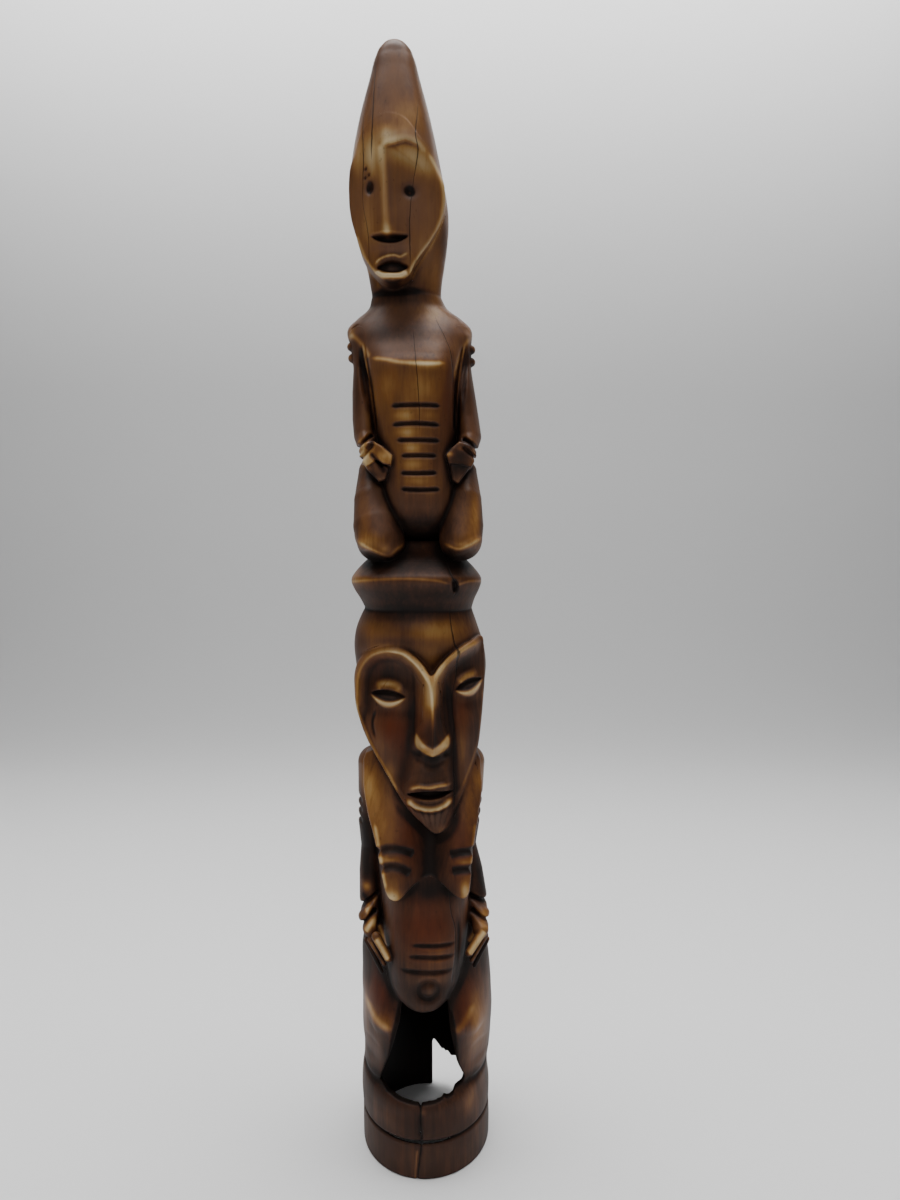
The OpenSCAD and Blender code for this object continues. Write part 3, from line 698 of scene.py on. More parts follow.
# The ridge along each knee's crease.
KNEE_CREASES = {RIGHT: [(-24.9, 253.6), (-18, 249.4), (-11.6, 246.9), (-8.0, 249.6), (-4.4, 253.0)],
                LEFT: [(9.2, 252.4), (15.2, 249.6), (19.4, 250.8), (25.6, 254.4)]}
STUDS = {RIGHT: [(-27.2, -3.5, 331.8), (-26.8, -3.5, 327.2)],
         LEFT: [(20.8, -3.5, 330.6), (20.8, -3.5, 325.6)]}
RIB_LINES = [
    [(-10.6, 304.8), (-2, 305.2), (9.2, 305.0)],
    [(-10.2, 297.6), (-2, 298.2), (9.0, 297.6)],
    [(-8.4, 291.8), (0, 291.8), (9.0, 291.6)],
    [(-6.4, 285.8), (0, 285.9), (7.6, 285.8)],
    [(-6.9, 279.2), (0, 279.0), (7.8, 279.3)],
    [(-6.8, 273.0), (0, 272.6), (9.0, 272.9)],
]


def sculpt_collar(clay):
    clay.add(loft(COLLAR_ROWS, tilt=0.03), 0.4)
    # A chip at the crack in its rim.
    etch_line(clay, [(13.6, 238.2), (14.6, 235.4), (14.0, 232.4)], 1.5, 2.2, taper=0.3, front=-10)


def plate(points, at, lean_x, lean_z, back):
    """A block with an outline in the front view, a flat slanting face and its back at y = back."""
    shape = outline(points, 1)
    steep = math.sqrt(1 + lean_x ** 2 + lean_z ** 2)

    def distance(x, y, z):
        face = (at[1] + lean_x * (x - at[0]) + lean_z * (z - at[2]) - y) / steep
        edge = shape(x[:, 0, :], z[:, 0, :])[:, None, :]
        return soft_max(soft_max(face, edge, 0.8), y - back + 0 * x, 0.5)
    corners = np.array(points, float)
    low, high = corners.min(0) - MARGIN, corners.max(0) + MARGIN
    return distance, [low[0], at[1] - 14, low[1]], [high[0], back + MARGIN, high[1]]


def knee_cut(form, at, facing):
    """A limb cut off flat on its underside, for a knee with a crisp crease."""
    distance, low, high = form
    facing = np.array(facing) / np.linalg.norm(facing)

    def cut_distance(x, y, z):
        beyond = (x - at[0]) * facing[0] + (y - at[1]) * facing[1] + (z - at[2]) * facing[2]
        return soft_max(distance(x, y, z), beyond, 0.6)
    return cut_distance, low, high


def sculpt_upper_body(clay):
    clay.add(loft(UPPER_BACK_ROWS), 0.8)
    clay.add(loft(UPPER_TORSO_ROWS), 0.6)
    for side in (RIGHT, LEFT):
        points, radii = UPPER_ARMS[side]
        clay.add(limb(points, radii, 2.0), 0.6)
        thigh, shin = [limb(points, radii, 1.15) for points, radii in UPPER_LEGS[side]]
        clay.add(knee_cut(thigh, *KNEES[side]), 0.8)
        clay.add(shin, 1.5)
        etch_line(clay, KNEE_CREASES[side], 2.4, -0.9, taper=0.2, sharp=True, front=-8)
        for points, at, lean_x, lean_z in UPPER_HANDS[side]:
            clay.add(plate(points, at, lean_x, lean_z, -8), 0.3)
        for at in STUDS[side]:
            clay.add(egg(at, (2.2, 3.2, 1.9)), 0.3)
    # The front of the trunk is edged by two fine grooves on each side.
    for points in ([(-22.8, 331), (-20.6, 318), (-19.0, 306), (-17.6, 295)],
                   [(-21.2, 331), (-19.0, 318), (-17.4, 306), (-16.2, 296)],
                   [(19.2, 332), (17.0, 318), (16.0, 306), (15.8, 295)],
                   [(17.8, 331), (15.5, 318), (14.5, 306), (14.3, 296)]):
        etch_line(clay, points, 0.9, 0.9, taper=0.1, front=-6)
    # A deep shadow under each shoulder, between the trunk and the arm.
    etch_line(clay, [(-23.4, 330), (-22.0, 318), (-20.2, 306)], 1.8, 0.9, taper=0.3, front=-6)
    etch_line(clay, [(19.8, 330), (18.4, 318), (17.6, 306)], 1.6, 0.8, taper=0.3, front=-6)
    for points in RIB_LINES:
        etch_line(clay, points, 1.05, 1.4, taper=0.14, front=-18)
    # Wrist bands, and the cut between each hand's two blocks.
    for points in ([(-26, 288.5), (-21.8, 291.5), (-18, 295)], [(-23, 284.2), (-20.2, 287.5), (-17, 291)]):
        etch_line(clay, points, 1.2, 1.3, taper=0.1, front=2)
    for points in ([(26, 286.6), (22.5, 290), (17.6, 293.4)], [(24.6, 283.6), (21, 286.8), (17.4, 289.6)]):
        etch_line(clay, points, 1.2, 1.3, taper=0.1, front=2)
    etch_line(clay, [(-19.0, 287.4), (-15.8, 284.0), (-12.6, 279.4)], 1.3, 0.9, taper=0.15, front=-8)
    # The back: spine and shoulder blades.
    etch_line(clay, [(-4, 340), (-2, 318), (-1, 290), (-1, 268)], 3.6, 1.6, taper=0.15, front=60, back=0)
    for side in (RIGHT, LEFT):
        etch_line(clay, [(-3 + side * 4, 334), (-3 + side * 11, 328), (-3 + side * 14, 318)], 2.8, 1.0,
                  taper=0.3, front=60, back=0)


UPPER_HEAD_ROWS = [
    (345, -4.8, 0, 15.0, 12.0, 14.4, 2.0),
    (351, -5.1, 0, 14.1, 11.6, 14.2, 2.0),
    (357, -5.4, 0, 14.6, 12.4, 14.6, 2.1),
    (364, -5.6, 0, 15.8, 14.4, 15.6, 2.2),
    (371, -6.2, 0, 17.4, 18.4, 16.6, 2.3),
    (379, -7.2, -1, 19.2, 22.0, 17.6, 2.4),
    (384, -7.8, -1, 19.8, 23.4, 18.0, 2.4),
    (390, -8.3, -1, 19.6, 24.0, 18.0, 2.4),
    (398, -8.9, -1, 18.7, 24.0, 17.6, 2.4),
    (407.6, -9.2, -2, 17.0, 22.6, 17.0, 2.4),
    (421.6, -9.3, -3.5, 13.9, 18.0, 14.6, 2.4),
    (436.0, -9.3, -5.5, 9.9, 12.0, 10.6, 2.3),
    (443, -9.3, -6.6, 7.9, 8.6, 8.2, 2.3),
    (447.4, -9.3, -7.4, 5.6, 5.8, 5.8, 2.1),
    (449.4, -9.3, -7.8, 3.2, 3.4, 3.6, 2.0),
    (450.2, -9.3, -8, 1.0, 1.2, 1.2, 2.0),
]
UPPER_FACE_EDGE = [
    (-20, 412), (-12, 416), (-4.6, 414), (0.6, 408), (4.4, 403.8), (8.0, 399.4), (10.0, 394.6),
    (10.7, 388.6), (10.3, 382.6), (8.0, 375.4), (4.9, 369.4), (1.2, 363.8), (-1.4, 359.6), (-3.6, 355.4),
    (-8.8, 352.8), (-13.2, 353.8), (-16.4, 356.6), (-19.6, 361.0), (-22.4, 366), (-24.2, 372), (-26.4, 380),
    (-27.2, 388), (-26.8, 397), (-24.6, 405),
]
BROW_LEDGE = [(-27, 402.0), (-14, 402.2), (-9.5, 403.2), (-4.4, 404.8), (0.4, 403.8), (4.4, 400.2),
              (8, 395.4)]
UPPER_EYES = [((-18.1, 388.5), (1.7, 2.5)), ((-3.0, 387.3), (2.3, 2.2))]
NOSTRILS = ((-10.6, 370.3), 8.0, 3.0, 1)
UPPER_MOUTH = ((-9.7, 358.7), 6.9, 2.8, 0)


def upper_face_depth(x, z):
    """Two long planes that meet in the nose, drilled eyes, and a small mouth on a pointed chin."""
    ridge_x = curve([(350, -9.6), (362, -10.8), (371, -11.8), (388, -12.5), (412, -13.3)], z)
    ridge = curve([(350, -22.2), (362, -24.2), (371, -25.2), (388, -25.4), (400, -25.4), (412, -24.0)], z)
    away = x - ridge_x
    rounded = np.sqrt(away ** 2 + 1.6 ** 2) - 1.6
    left = 0.46 * rounded + 0.030 * rounded ** 2
    right = 0.28 * rounded + 0.010 * rounded ** 2
    planes = ridge + np.where(away < 0, left, right)
    # Above a ledge the face gives way to the cone of the head, which hangs over it beside the nose.
    ledge_x, ledge_z = np.array(BROW_LEDGE).T
    above = z - np.interp(x[:, 0], ledge_x, ledge_z)[:, None]
    cone = front_of(UPPER_HEAD_ROWS, x, z)
    over = smoothstep(-15, -12, x) * smoothstep(3.5, -0.5, x)
    planes = np.minimum(planes, cone + 0.35 * over + 0.3 * np.clip(-above, 0, 40))
    cone = cone - 1.2 * over * np.exp(-(np.clip(above, 0, 30) / 5.5) ** 1.4)
    wide = 0.5 + 5 * smoothstep(-12.5, -17, x) + 4 * smoothstep(0, 5, x)
    mix = smoothstep(-1, 1, above / wide)
    depth = planes * (1 - mix) + cone * mix
    # The nose is cut off square, and the muzzle is set back behind it.
    across = np.clip(1 - ((x + 10.8) / 8.4) ** 2, 0, 1)
    depth = depth + 2.3 * across * smoothstep(0.3, -0.7, z - 370.5) * smoothstep(353, 362, z)
    depth = depth + 0.5 * spot((-2.5, 388), (8, 10))(x, z) + 0.4 * spot((-18.5, 390), (5, 10))(x, z)
    depth = depth + 2.0 * lens(NOSTRILS, 1.0, 0.4, True)(x, z)
    depth = depth - 0.8 * line(UPPER_MOUTH_TOP, 1.3, 0.15)(x, z) + 2.4 * lens(UPPER_MOUTH)(x, z)
    return depth - 1.5 * line(UPPER_MOUTH_LOW, 2.0, 0.15)(x, z)


UPPER_MOUTH_TOP = [(-16.8, 359.8), (-14.6, 361.6), (-12.0, 362.5), (-8.9, 362.9), (-6.4, 362.4),
                   (-3.4, 364.2)]
UPPER_MOUTH_LOW = [(-16.6, 357.4), (-14.4, 355.6), (-10.4, 354.8), (-6.4, 355.2), (-3.6, 357.2)]


def sculpt_upper_head(clay):
    clay.add(loft(UPPER_HEAD_ROWS), 0.8)
    clay.face(outline(UPPER_FACE_EDGE), upper_face_depth, (-28, 353), (11, 416), -4, 0.4)
    for at, size in UPPER_EYES:
        clay.etch(spot(at, size), 1.9, (at[0] - 7, at[1] - 7), (at[0] + 7, at[1] + 7), front=-6)
    # Small pits above the right eye.
    for at in ((-19.8, 395.6), (-18.4, 393.2), (-20.0, 392.4)):
        clay.etch(spot(at, (0.6, 0.7)), 0.9, (at[0] - 3, at[1] - 3), (at[0] + 3, at[1] + 3), front=-6)


def sculpt():
    clay = Clay((-33, -40, -2.5), (34, 38.5, 453), PITCH)
    sculpt_foot(clay)
    clay.add(loft(LOWER_BACK_ROWS), 1.5)
    foot, _ = clay.window([-60, -60, -5], [60, 60, 90])
    unhollowed = clay.field[foot].copy()
    hollow_foot(clay)
    sculpt_lower_body(clay)
    sculpt_lower_head(clay)
    sculpt_collar(clay)
    sculpt_upper_body(clay)
    sculpt_upper_head(clay)
    # The same bone before it was hollowed, for telling ridges from thin walls when it is coloured.
    clay.whole = clay.field.copy()
    clay.whole[foot] = np.minimum(clay.whole[foot], unhollowed)
    floor, (x, y, z) = clay.window([-60, -60, -5], [60, 60, 3])
    clay.field[floor] = soft_max(clay.field[floor], -z + 0 * x + 0 * y, 0.5)
    return clay


# ---- Skinning the clay ------------------------------------------------------------------------

CORNERS = np.array([(i, j, k) for i in (0, 1) for j in (0, 1) for k in (0, 1)])
EDGES = [(a, b) for a in range(8) for b in range(a + 1, 8) if np.abs(CORNERS[a] - CORNERS[b]).sum() == 1]


def sample(values, at):
    """Trilinear values of a grid at positions given in cells."""
    top = np.array(values.shape) - 2
    cell = np.clip(np.floor(at).astype(int), 0, top)
    part = (at - cell).astype(np.float32)
    total = np.zeros(len(at), np.float32)
    for corner in CORNERS:
        weight = np.prod(np.where(corner, part, 1 - part), axis=1)
        i, j, k = (cell + corner).T
        total += weight * values[i, j, k]
    return total


def slope(values, at, step=0.8):
    """The gradient of a grid at positions given in cells."""
    sides = []
    for axis in range(3):
        move = np.zeros(3)
        move[axis] = step
        sides.append((sample(values, at + move) - sample(values, at - move)) / (2 * step))
    return np.stack(sides, axis=1)


def settle(at, home, values, rounds):
    """Moves points onto a grid's zero surface, never more than one cell from home."""
    for _ in range(rounds):
        value = sample(values, at)
        direction = slope(values, at)
        size = np.maximum((direction ** 2).sum(1), 0.05)
        at = at - np.clip(value / size, -0.8, 0.8)[:, None] * direction
        at = home + np.clip(at - home, -0.75, 0.75)
    return at


def skin(bone, region):
    """A closed quad surface of the bone inside a region. Both are grids of distances, negative inside.
    Returns points in cells, quads, each quad's kind (True where it is the bone's own surface) and each
    point's two normals, on the bone and on the region's edge."""
    bone, region = bone.copy(), region.copy()
    for grid in (bone, region):
        for axis in range(3):
            ends = [slice(None)] * 3
            for end in (0, -1):
                ends[axis] = end
                if grid is region:
                    grid[tuple(ends)] = np.maximum(grid[tuple(ends)], 0.3)
    solid = np.maximum(bone, region)
    inside = solid < 0
    shape = np.array(solid.shape) - 1
    full = np.zeros(shape, np.uint8)
    for i, j, k in CORNERS:
        full += inside[i:i + shape[0], j:j + shape[1], k:k + shape[2]]
    live = (full > 0) & (full < 8)
    cells = np.argwhere(live)
    if not len(cells):
        return None
    index = np.full(shape, -1, np.int32)
    index[live] = np.arange(len(cells))

    def corners(grid):
        return np.stack([grid[tuple((cells + corner).T)] for corner in CORNERS], axis=1)
    at_solid, at_bone, at_region = corners(solid), corners(bone), corners(region)
    total = np.zeros((len(cells), 3), np.float32)
    count = np.zeros(len(cells), np.float32)
    for a, b in EDGES:
        va, vb = at_solid[:, a], at_solid[:, b]
        crossing = (va < 0) != (vb < 0)
        t = np.where(crossing, va / np.where(crossing, va - vb, 1), 0)
        total += crossing[:, None] * (CORNERS[a] + t[:, None] * (CORNERS[b] - CORNERS[a]))
        count += crossing
    start = cells + total / count[:, None]
    on_bone = (at_bone.min(1) < 0) & (at_bone.max(1) >= 0)
    on_region = (at_region.min(1) < 0) & (at_region.max(1) >= 0)
    at = start.copy()
    only = on_bone & ~on_region
    at[only] = settle(start[only], start[only], bone, 2)
    both = on_bone & on_region
    for _ in range(4):
        at[both] = settle(at[both], start[both], region, 1)
        at[both] = settle(at[both], start[both], bone, 1)
    quads, kinds = [], []
    for axis in range(3):
        u, v = (axis + 1) % 3, (axis + 2) % 3
        near = [slice(1, -1)] * 3
        near[axis] = slice(0, -1)
        next_to = list(near)
        next_to[axis] = slice(1, None)
        a_in, b_in = inside[tuple(near)], inside[tuple(next_to)]
        edge = np.argwhere(a_in != b_in)
        if not len(edge):
            continue
        edge[:, u] += 1
        edge[:, v] += 1
        ring = []
        for du, dv in ((-1, -1), (0, -1), (0, 0), (-1, 0)):
            cell = edge.copy()
            cell[:, u] += du
            cell[:, v] += dv
            ring.append(index[tuple(cell.T)])
        quad = np.stack(ring, axis=1)
        step = np.zeros(3, int)
        step[axis] = 1
        first, second = tuple(edge.T), tuple((edge + step).T)
        outward = inside[first]
        quad[~outward] = quad[~outward][:, ::-1]
        inner_bone = np.where(outward, bone[first], bone[second])
        outer_bone = np.where(outward, bone[second], bone[first])
        inner_region = np.where(outward, region[first], region[second])
        outer_region = np.where(outward, region[second], region[first])
        drop = np.minimum(inner_bone - outer_bone, -1e-6)
        to_bone = np.where(outer_bone > 0, inner_bone / drop, 9)
        drop = np.minimum(inner_region - outer_region, -1e-6)
        to_region = np.where(outer_region > 0, inner_region / drop, 9)
        quads.append(quad)
        kinds.append(to_bone <= to_region)
    quads, kinds = np.vstack(quads), np.concatenate(kinds)
    normals = []
    for grid in (bone, region):
        direction = slope(grid, at, 1.0)
        normals.append(direction / np.maximum(np.linalg.norm(direction, axis=1, keepdims=True), 1e-6))
    return at, quads, kinds, normals


# ---- Which part of the bone each piece is -----------------------------------------------------

def swell(form, by):
    """A form grown outwards by a distance."""
    distance, low, high = form
    return (lambda x, y, z: distance(x, y, z) - by), np.array(low) - by, np.array(high) + by


def join(*forms):
    lows = np.min([form[1] for form in forms], axis=0)
    highs = np.max([form[2] for form in forms], axis=0)

    def distance(x, y, z):
        best = forms[0][0](x, y, z)
        for form in forms[1:]:
            best = np.minimum(best, form[0](x, y, z))
        return best
    return distance, lows, highs


def half(form, x_at, side):
    """The part of a form on one side of the upright plane x = x_at."""
    distance, low, high = form
    return (lambda x, y, z: np.maximum(distance(x, y, z), side * (x_at - x))), low, high


def front_part(points, back, low, high, steps=4):
    return prism(outline(points, steps), -60, back, low, high)


def claims():
    """The pieces in order: each takes what the ones before it have left."""
    eyes = {RIGHT: [(-19.8, 191), (-16, 196.4), (-11.5, 197.6), (-6.6, 196), (-3.6, 191.4), (-7, 186.8),
                    (-12, 185.2), (-16.8, 186.8)],
            LEFT: [(13.8, 192.4), (17, 198.2), (21.2, 200), (26.4, 199.6), (26.6, 194), (23.6, 189.4),
                   (19, 188.2), (15.4, 189.4)]}
    yield "navel", egg((NAVEL[0], -35, NAVEL[1]), (3.7, 4.2, 3.7))
    yield "right_eyelids", front_part(eyes[RIGHT], -19.5, (-20, 185), (-3, 198))
    yield "left_eyelids", front_part(eyes[LEFT], -13.5, (13, 188), (27, 200))
    nose = [(-3.4, 174), (-2.6, 178.6), (1.2, 181), (2.2, 190), (2.6, 198), (5.3, 201.4), (8, 198),
            (8.8, 190), (9.8, 181), (12.4, 177), (13.2, 173), (9.6, 168.6), (5.4, 167.2), (0.2, 168.8)]
    yield "lower_nose", front_part(nose, -25.5, (-4, 167), (14, 202))
    lips = [(-6.2, 155), (-3, 159.6), (0.6, 161.8), (5, 161), (9, 162.2), (13.4, 162), (14.8, 157),
            (14.4, 152), (9.8, 148.4), (4.6, 147.5), (-1, 148.8), (-5.6, 152)]
    yield "lower_lips", front_part(lips, -22.5, (-7, 147), (15, 163))
    beard = [(-6.4, 150.4), (-2.6, 145), (1.4, 141), (5, 137.6), (7.9, 136.2), (11.6, 138.4), (14.4, 143),
             (14.8, 152), (4.6, 153), (-4, 153)]
    yield "beard", front_part(beard, -22.0, (-7, 136), (15, 153), 1)
    brow_lines = RIGHT_BROW[1:-1], LEFT_BROW[1:]
    yield "brow_ridges", join(*[limb([(x, -24, z) for x, z in points], [2.9] * len(points), 3.2)
                                for points in brow_lines])
    for name, side in (("lower_right_hand", RIGHT), ("lower_left_hand", LEFT)):
        yield name, join(*[swell(limb(points, radii, 1.3), 0.9) for points, radii in LOWER_HANDS[side]])
    for name, side in (("upper_right_hand", RIGHT), ("upper_left_hand", LEFT)):
        yield name, join(*[swell(plate(*block, -10), 0.7) for block in UPPER_HANDS[side]])
    for name, side in (("upper_right_studs", RIGHT), ("upper_left_studs", LEFT)):
        yield name, join(*[egg(at, (3.0, 4.2, 2.5)) for at in STUDS[side]])
    face = outline(FACE_EDGE)
    yield "lower_face", swell(prism(face, -60, -11.5, (-28, 136), (29, 216)), 0.6)
    mouth = [(-19.4, 359), (-18.2, 364.4), (-13, 365.6), (-7, 365.4), (-2.2, 364.6), (-0.8, 359),
             (-3.4, 354.6), (-8.8, 351.6), (-14, 352.6), (-17.8, 355.6)]
    yield "upper_lips", front_part(mouth, -15.5, (-20, 351), (0, 366))
    yield "upper_face", swell(prism(outline(UPPER_FACE_EDGE), -60, -9.5, (-31, 352), (11, 416)), 0.5)
    for name, side in (("lower_right_breast", RIGHT), ("lower_left_breast", LEFT)):
        chest = prism(outline(BIB), -60, -18.5, (-24, 111), (27, 170))
        yield name, half(swell(chest, 0.4), 4.8, side)
    for name, side in (("lower_right_arm", RIGHT), ("lower_left_arm", LEFT)):
        points, radii = LOWER_ARMS[side]
        yield name, swell(limb(points, radii, 1.75), 1.0)
    for name, side in (("upper_right_arm", RIGHT), ("upper_left_arm", LEFT)):
        points, radii = UPPER_ARMS[side]
        yield name, swell(limb(points, radii, 2.1), 0.9)
    for name, side in (("upper_right_leg", RIGHT), ("upper_left_leg", LEFT)):
        legs = join(*[swell(limb(points, radii, 1.2), 1.0) for points, radii in UPPER_LEGS[side]])
        yield name, half(legs, -0.9, side)
    yield "base_ring", slab(-9, 31.5)
    yield "collar_seat", slab(225.2, 245.2)
    rows = [(row[0] - 0.8, *row[1:3], row[3] + 0.8, row[4] + 0.8, *row[5:]) for row in BELLY_ROWS]
    yield "lower_torso", join(loft(rows), slab(88, 166))
    shin_back = (lambda x, y, z: np.maximum(y - 4, z - 90) + 0 * x), [-60, -60, 20], [60, 14, 96]
    for name, side in (("lower_right_leg", RIGHT), ("lower_left_leg", LEFT)):
        yield name, half(shin_back, 2.8, side)
    yield "cavity_wall", slab(30, 89)
    yield "lower_head", slab(160, 226)
    yield "upper_torso", slab(244, 347.5)
    yield "upper_neck", slab(347.5, 356)
    yield "upper_head", slab(356, 460)


# ---- Colour laid on in listed marks: masks in the front view ----------------------------------

def spots(*rows):
    """Marks from rows of: across, height, half width, half height, strength and perhaps a turn."""
    return [(spot(row[:2], row[2:4], *row[5:]), row[4]) for row in rows]


def lines(*rows):
    """Marks from rows of: strength, width, taper and the points of a curve."""
    return [(line(points, width, taper), strength) for strength, width, taper, *points in rows]


# Each entry is (mask, strength). The same carved lines that shape the bone also colour it.
# Cream marks are partly pale bone and partly painted highlight: on the lids, the brow and knee crests, the
# collar's and chest's ridges, the forehead's ledge and the chin's rim.
CREAM_AND_HIGHLIGHT = [
    # The lower head: pale bone, with painted highlights on the upper lids and along the brows' crests.
    *spots(
        (5.0, 190, 2.8, 8, 0.35), (-12.8, 195.8, 3.2, 1.1, 0.45), (20.6, 198.8, 2.4, 1.0, 0.3),
        (6.5, 218, 7, 4, 0.2), (17.4, 170, 1.8, 6, 0.2), (-11.5, 160, 2.4, 5, 0.15), (9, 139, 3, 2, 0.4),
    ),
    *lines(
        (0.15, 1.1, 0.3, (5.4, 192), (5.9, 186), (6.0, 180), (5.9, 173)),
        (0.4, 0.9, 0.1, (-25.6, 190), (-24.6, 184), (-21.6, 176.8), (-17.6, 169.6), (-12.6, 161.8),
         (-7.4, 153)),
        (0.35, 0.9, 0.1, (26.2, 194), (24.8, 178), (23.4, 170.6), (20.6, 162.4), (17, 154)),
    ),
    (line(RIGHT_BROW, 4.6, 0.2), 0.34), (line(LEFT_BROW, 4.4, 0.1), 0.34),
    (line(RIGHT_BROW, 1.2, 0.2), 0.15), (line(LEFT_BROW, 1.2, 0.1), 0.15),
    (shape_mask(NOSE_BASE, 0.7), 1.15), (line(EYES[0][4], 2.8, 0.2), 0.55),
    (lens(EYES[0][:4], 2.1, 0.3, True), 1.0), (lens(EYES[0][:4], 1.1), -1.1),
    (line(EYES[1][4], 2.6, 0.2), 0.45), (lens(EYES[1][:4], 2.1, 0.3, True), 1.0),
    (lens(EYES[1][:4], 1.1), -1.1), (line(LOWER_LIP, 2.2, 0.12), 1.1), (line(UPPER_LIP, 1.3, 0.15), 0.6),
    # Shoulders, breasts, belly and arms of the lower figure.
    *spots(
        (-9.8, 113.8, 3.6, 3.0, 1.3), (18.4, 116.6, 1.9, 4.0, 1.2), (-20.6, 156, 3.6, 8, 0.6),
        (25, 157, 2.4, 7, 0.5), (-11.4, 127.8, 4.0, 1.3, 0.5), (18.0, 127.2, 3.2, 1.3, 0.6),
        (20.2, 104, 1.6, 10, 0.3), (-22.0, 109.8, 2.4, 2.2, 0.9), (26.6, 99, 2.2, 3.6, 0.55),
        (4.4, 76.5, 2.2, 2.2, 0.3), (4, 81.4, 9, 2.4, 0.2),
    ),
    *lines(
        (0.75, 1.3, 0.1, (-17.4, 141), (-15.6, 133), (-14, 125), (-12.4, 117)),
        (0.5, 1.0, 0.1, (22.6, 141), (21.6, 132), (20.8, 124)),
        (0.45, 2.0, 0.15, (-18.4, 124), (-17.0, 112), (-14.8, 99)),
        (0.85, 1.9, 0.1, (-22.2, 101.4), (-17.6, 105.8)),
        (0.9, 2.0, 0.1, (-21.4, 95.6), (-19.4, 98.4), (-17.2, 98.2)),
        (1.3, 2.2, 0.08, (-17.0, 94.6), (-11.8, 87.4)),
        (0.6, 0.7, 0.1, (-19.6, 92.5), (-13.6, 84.6)),
        (1.2, 2.3, 0.08, (26.8, 95.2), (20.2, 88.6)),
        (0.4, 0.7, 0.1, (27.2, 92.0), (21.2, 85.0)),
    ),
    # Knees and shins: pale bone, with painted highlights on the knees and along their crests.
    *spots(
        (-23.4, 62, 2.4, 14, 0.4), (24.4, 55, 4.4, 15, 0.55), (-15, 62.4, 6, 4, 0.3),
        (21, 27, 2.2, 5, 0.35), (1.6, 27.6, 1.2, 1.2, 0.4),
    ),
    *lines(
        (0.7, 3.0, 0.25, (-22.4, 66), (-19.6, 61.6), (-15, 59.0), (-9.6, 59.2)),
        (0.5, 2.8, 0.25, (13.6, 57.6), (18, 61), (22.8, 66)),
        (0.7, 0.6, 0.1, (-0.4, 12.4), (-0.9, 6), (-1.2, 0)),
    ),
    # The collar: painted highlight along its crest.
    (spot((-25.4, 237.2), (3.6, 2.2)), 0.3),
    *lines(
        (0.5, 0.9, 0.06, (-28, 236.4), (-20, 237.4), (-6, 238.2), (6, 237.6), (12.4, 236.2)),
        (0.5, 0.9, 0.06, (16, 235.8), (21, 237.0), (28, 236.2)),
    ),
    # The upper figure: pale bone, with painted highlights along the chest's ridge and the shoulders.
    *spots(
        (-27, 336.6, 2.0, 2.2, 0.5), (20.6, 336, 1.6, 3, 0.4), (3.6, 320.4, 5.4, 1.6, 0.5),
        (6, 343, 6, 5, 0.25), (7, 334, 5, 8, 0.2, 30), (-5.6, 301.2, 3.6, 2.2, 0.55),
        (-4.4, 294.8, 3.8, 1.8, 0.5), (-2.4, 288.8, 3.2, 1.8, 0.55), (-1.6, 282.4, 4.4, 2, 0.4),
        (0, 276.0, 5, 2, 0.35), (5, 301.2, 3, 2, 0.25), (-12, 313, 3.4, 6, 0.3), (4, 312, 4, 5, 0.2),
        (-13.0, 285.8, 3.4, 2.2, 0.6), (-21.0, 286, 2.6, 4, 0.8), (-22.8, 291.4, 1.2, 1.6, 0.5),
        (-16, 280.4, 2.6, 1.6, 0.35), (12.6, 286.6, 1.5, 1.1, 0.9), (17.4, 288.8, 2.2, 0.9, 0.5),
        (-27.6, 329, 1, 5, 0.3), (-12.6, 249.4, 2.4, 1.8, 0.5), (-18, 252, 6, 3, 0.2),
        (17, 251.4, 3, 1.2, 0.35), (23, 264, 1.8, 9, 0.4), (-20.6, 262, 2.6, 8, 0.2),
    ),
    *lines(
        (0.8, 1.7, 0.12, (-28.6, 336), (-25.2, 333.8), (-21.6, 329.4), (-18.6, 324.2)),
        (0.9, 1.5, 0.12, (-18.4, 324.0), (-12, 322.6), (-6, 321.2), (4, 320.8), (11, 321.6)),
        (0.6, 1.3, 0.15, (20.8, 335), (18.4, 330.4), (16.0, 324), (14.4, 316)),
        (0.4, 0.7, 0.1, (-22.0, 331), (-19.8, 318), (-18.2, 306), (-16.9, 296)),
        (0.35, 0.7, 0.1, (18.5, 331), (16.2, 318), (15.2, 306), (15.0, 296)),
    ),
    # The upper head: pale bone, with painted highlights over the forehead's ledge and on the chin's rim.
    *spots(
        (-11.4, 372, 2.4, 2.0, 0.45), (-3.0, 387.0, 0.5, 0.5, 0.7), (-17.6, 400, 3.0, 9, 0.8),
        (-23, 402, 2.4, 8, 0.55), (-5.0, 400.4, 7.4, 3.4, 0.6), (2.8, 397.0, 4.8, 3.4, 0.45),
        (-19, 377, 4, 13, 0.4), (-4, 415, 6, 7, 0.3), (-8, 406.4, 5.4, 3.2, 0.55, 20),
        (-12, 407.5, 3.0, 3.6, 0.8), (0, 406, 4, 2.4, 0.3, -30), (-9.4, 354.0, 5, 1.6, 0.6),
    ),
    *lines(
        (0.62, 2.4, 0.02, (-13.6, 402), (-12.8, 392), (-12.2, 380), (-11.6, 370.9)),
        (0.7, 1.5, 0.05, (4.6, 402.4), (8.6, 396), (10.2, 388), (9.4, 379.6), (6, 371), (0.6, 362.6),
         (-3.0, 356)),
        (0.35, 2.0, 0.1, (-14, 403.4), (-10, 404.6), (-4.6, 406.2), (0, 405.2), (3.6, 402.2)),
        (0.6, 1.2, 0.1, (-24.2, 372), (-20.2, 362.4), (-15.8, 356)),
    ),
    (line(UPPER_MOUTH_LOW, 2.3, 0.12), 0.8), (line(UPPER_MOUTH_TOP, 1.0, 0.12), 0.6),
]
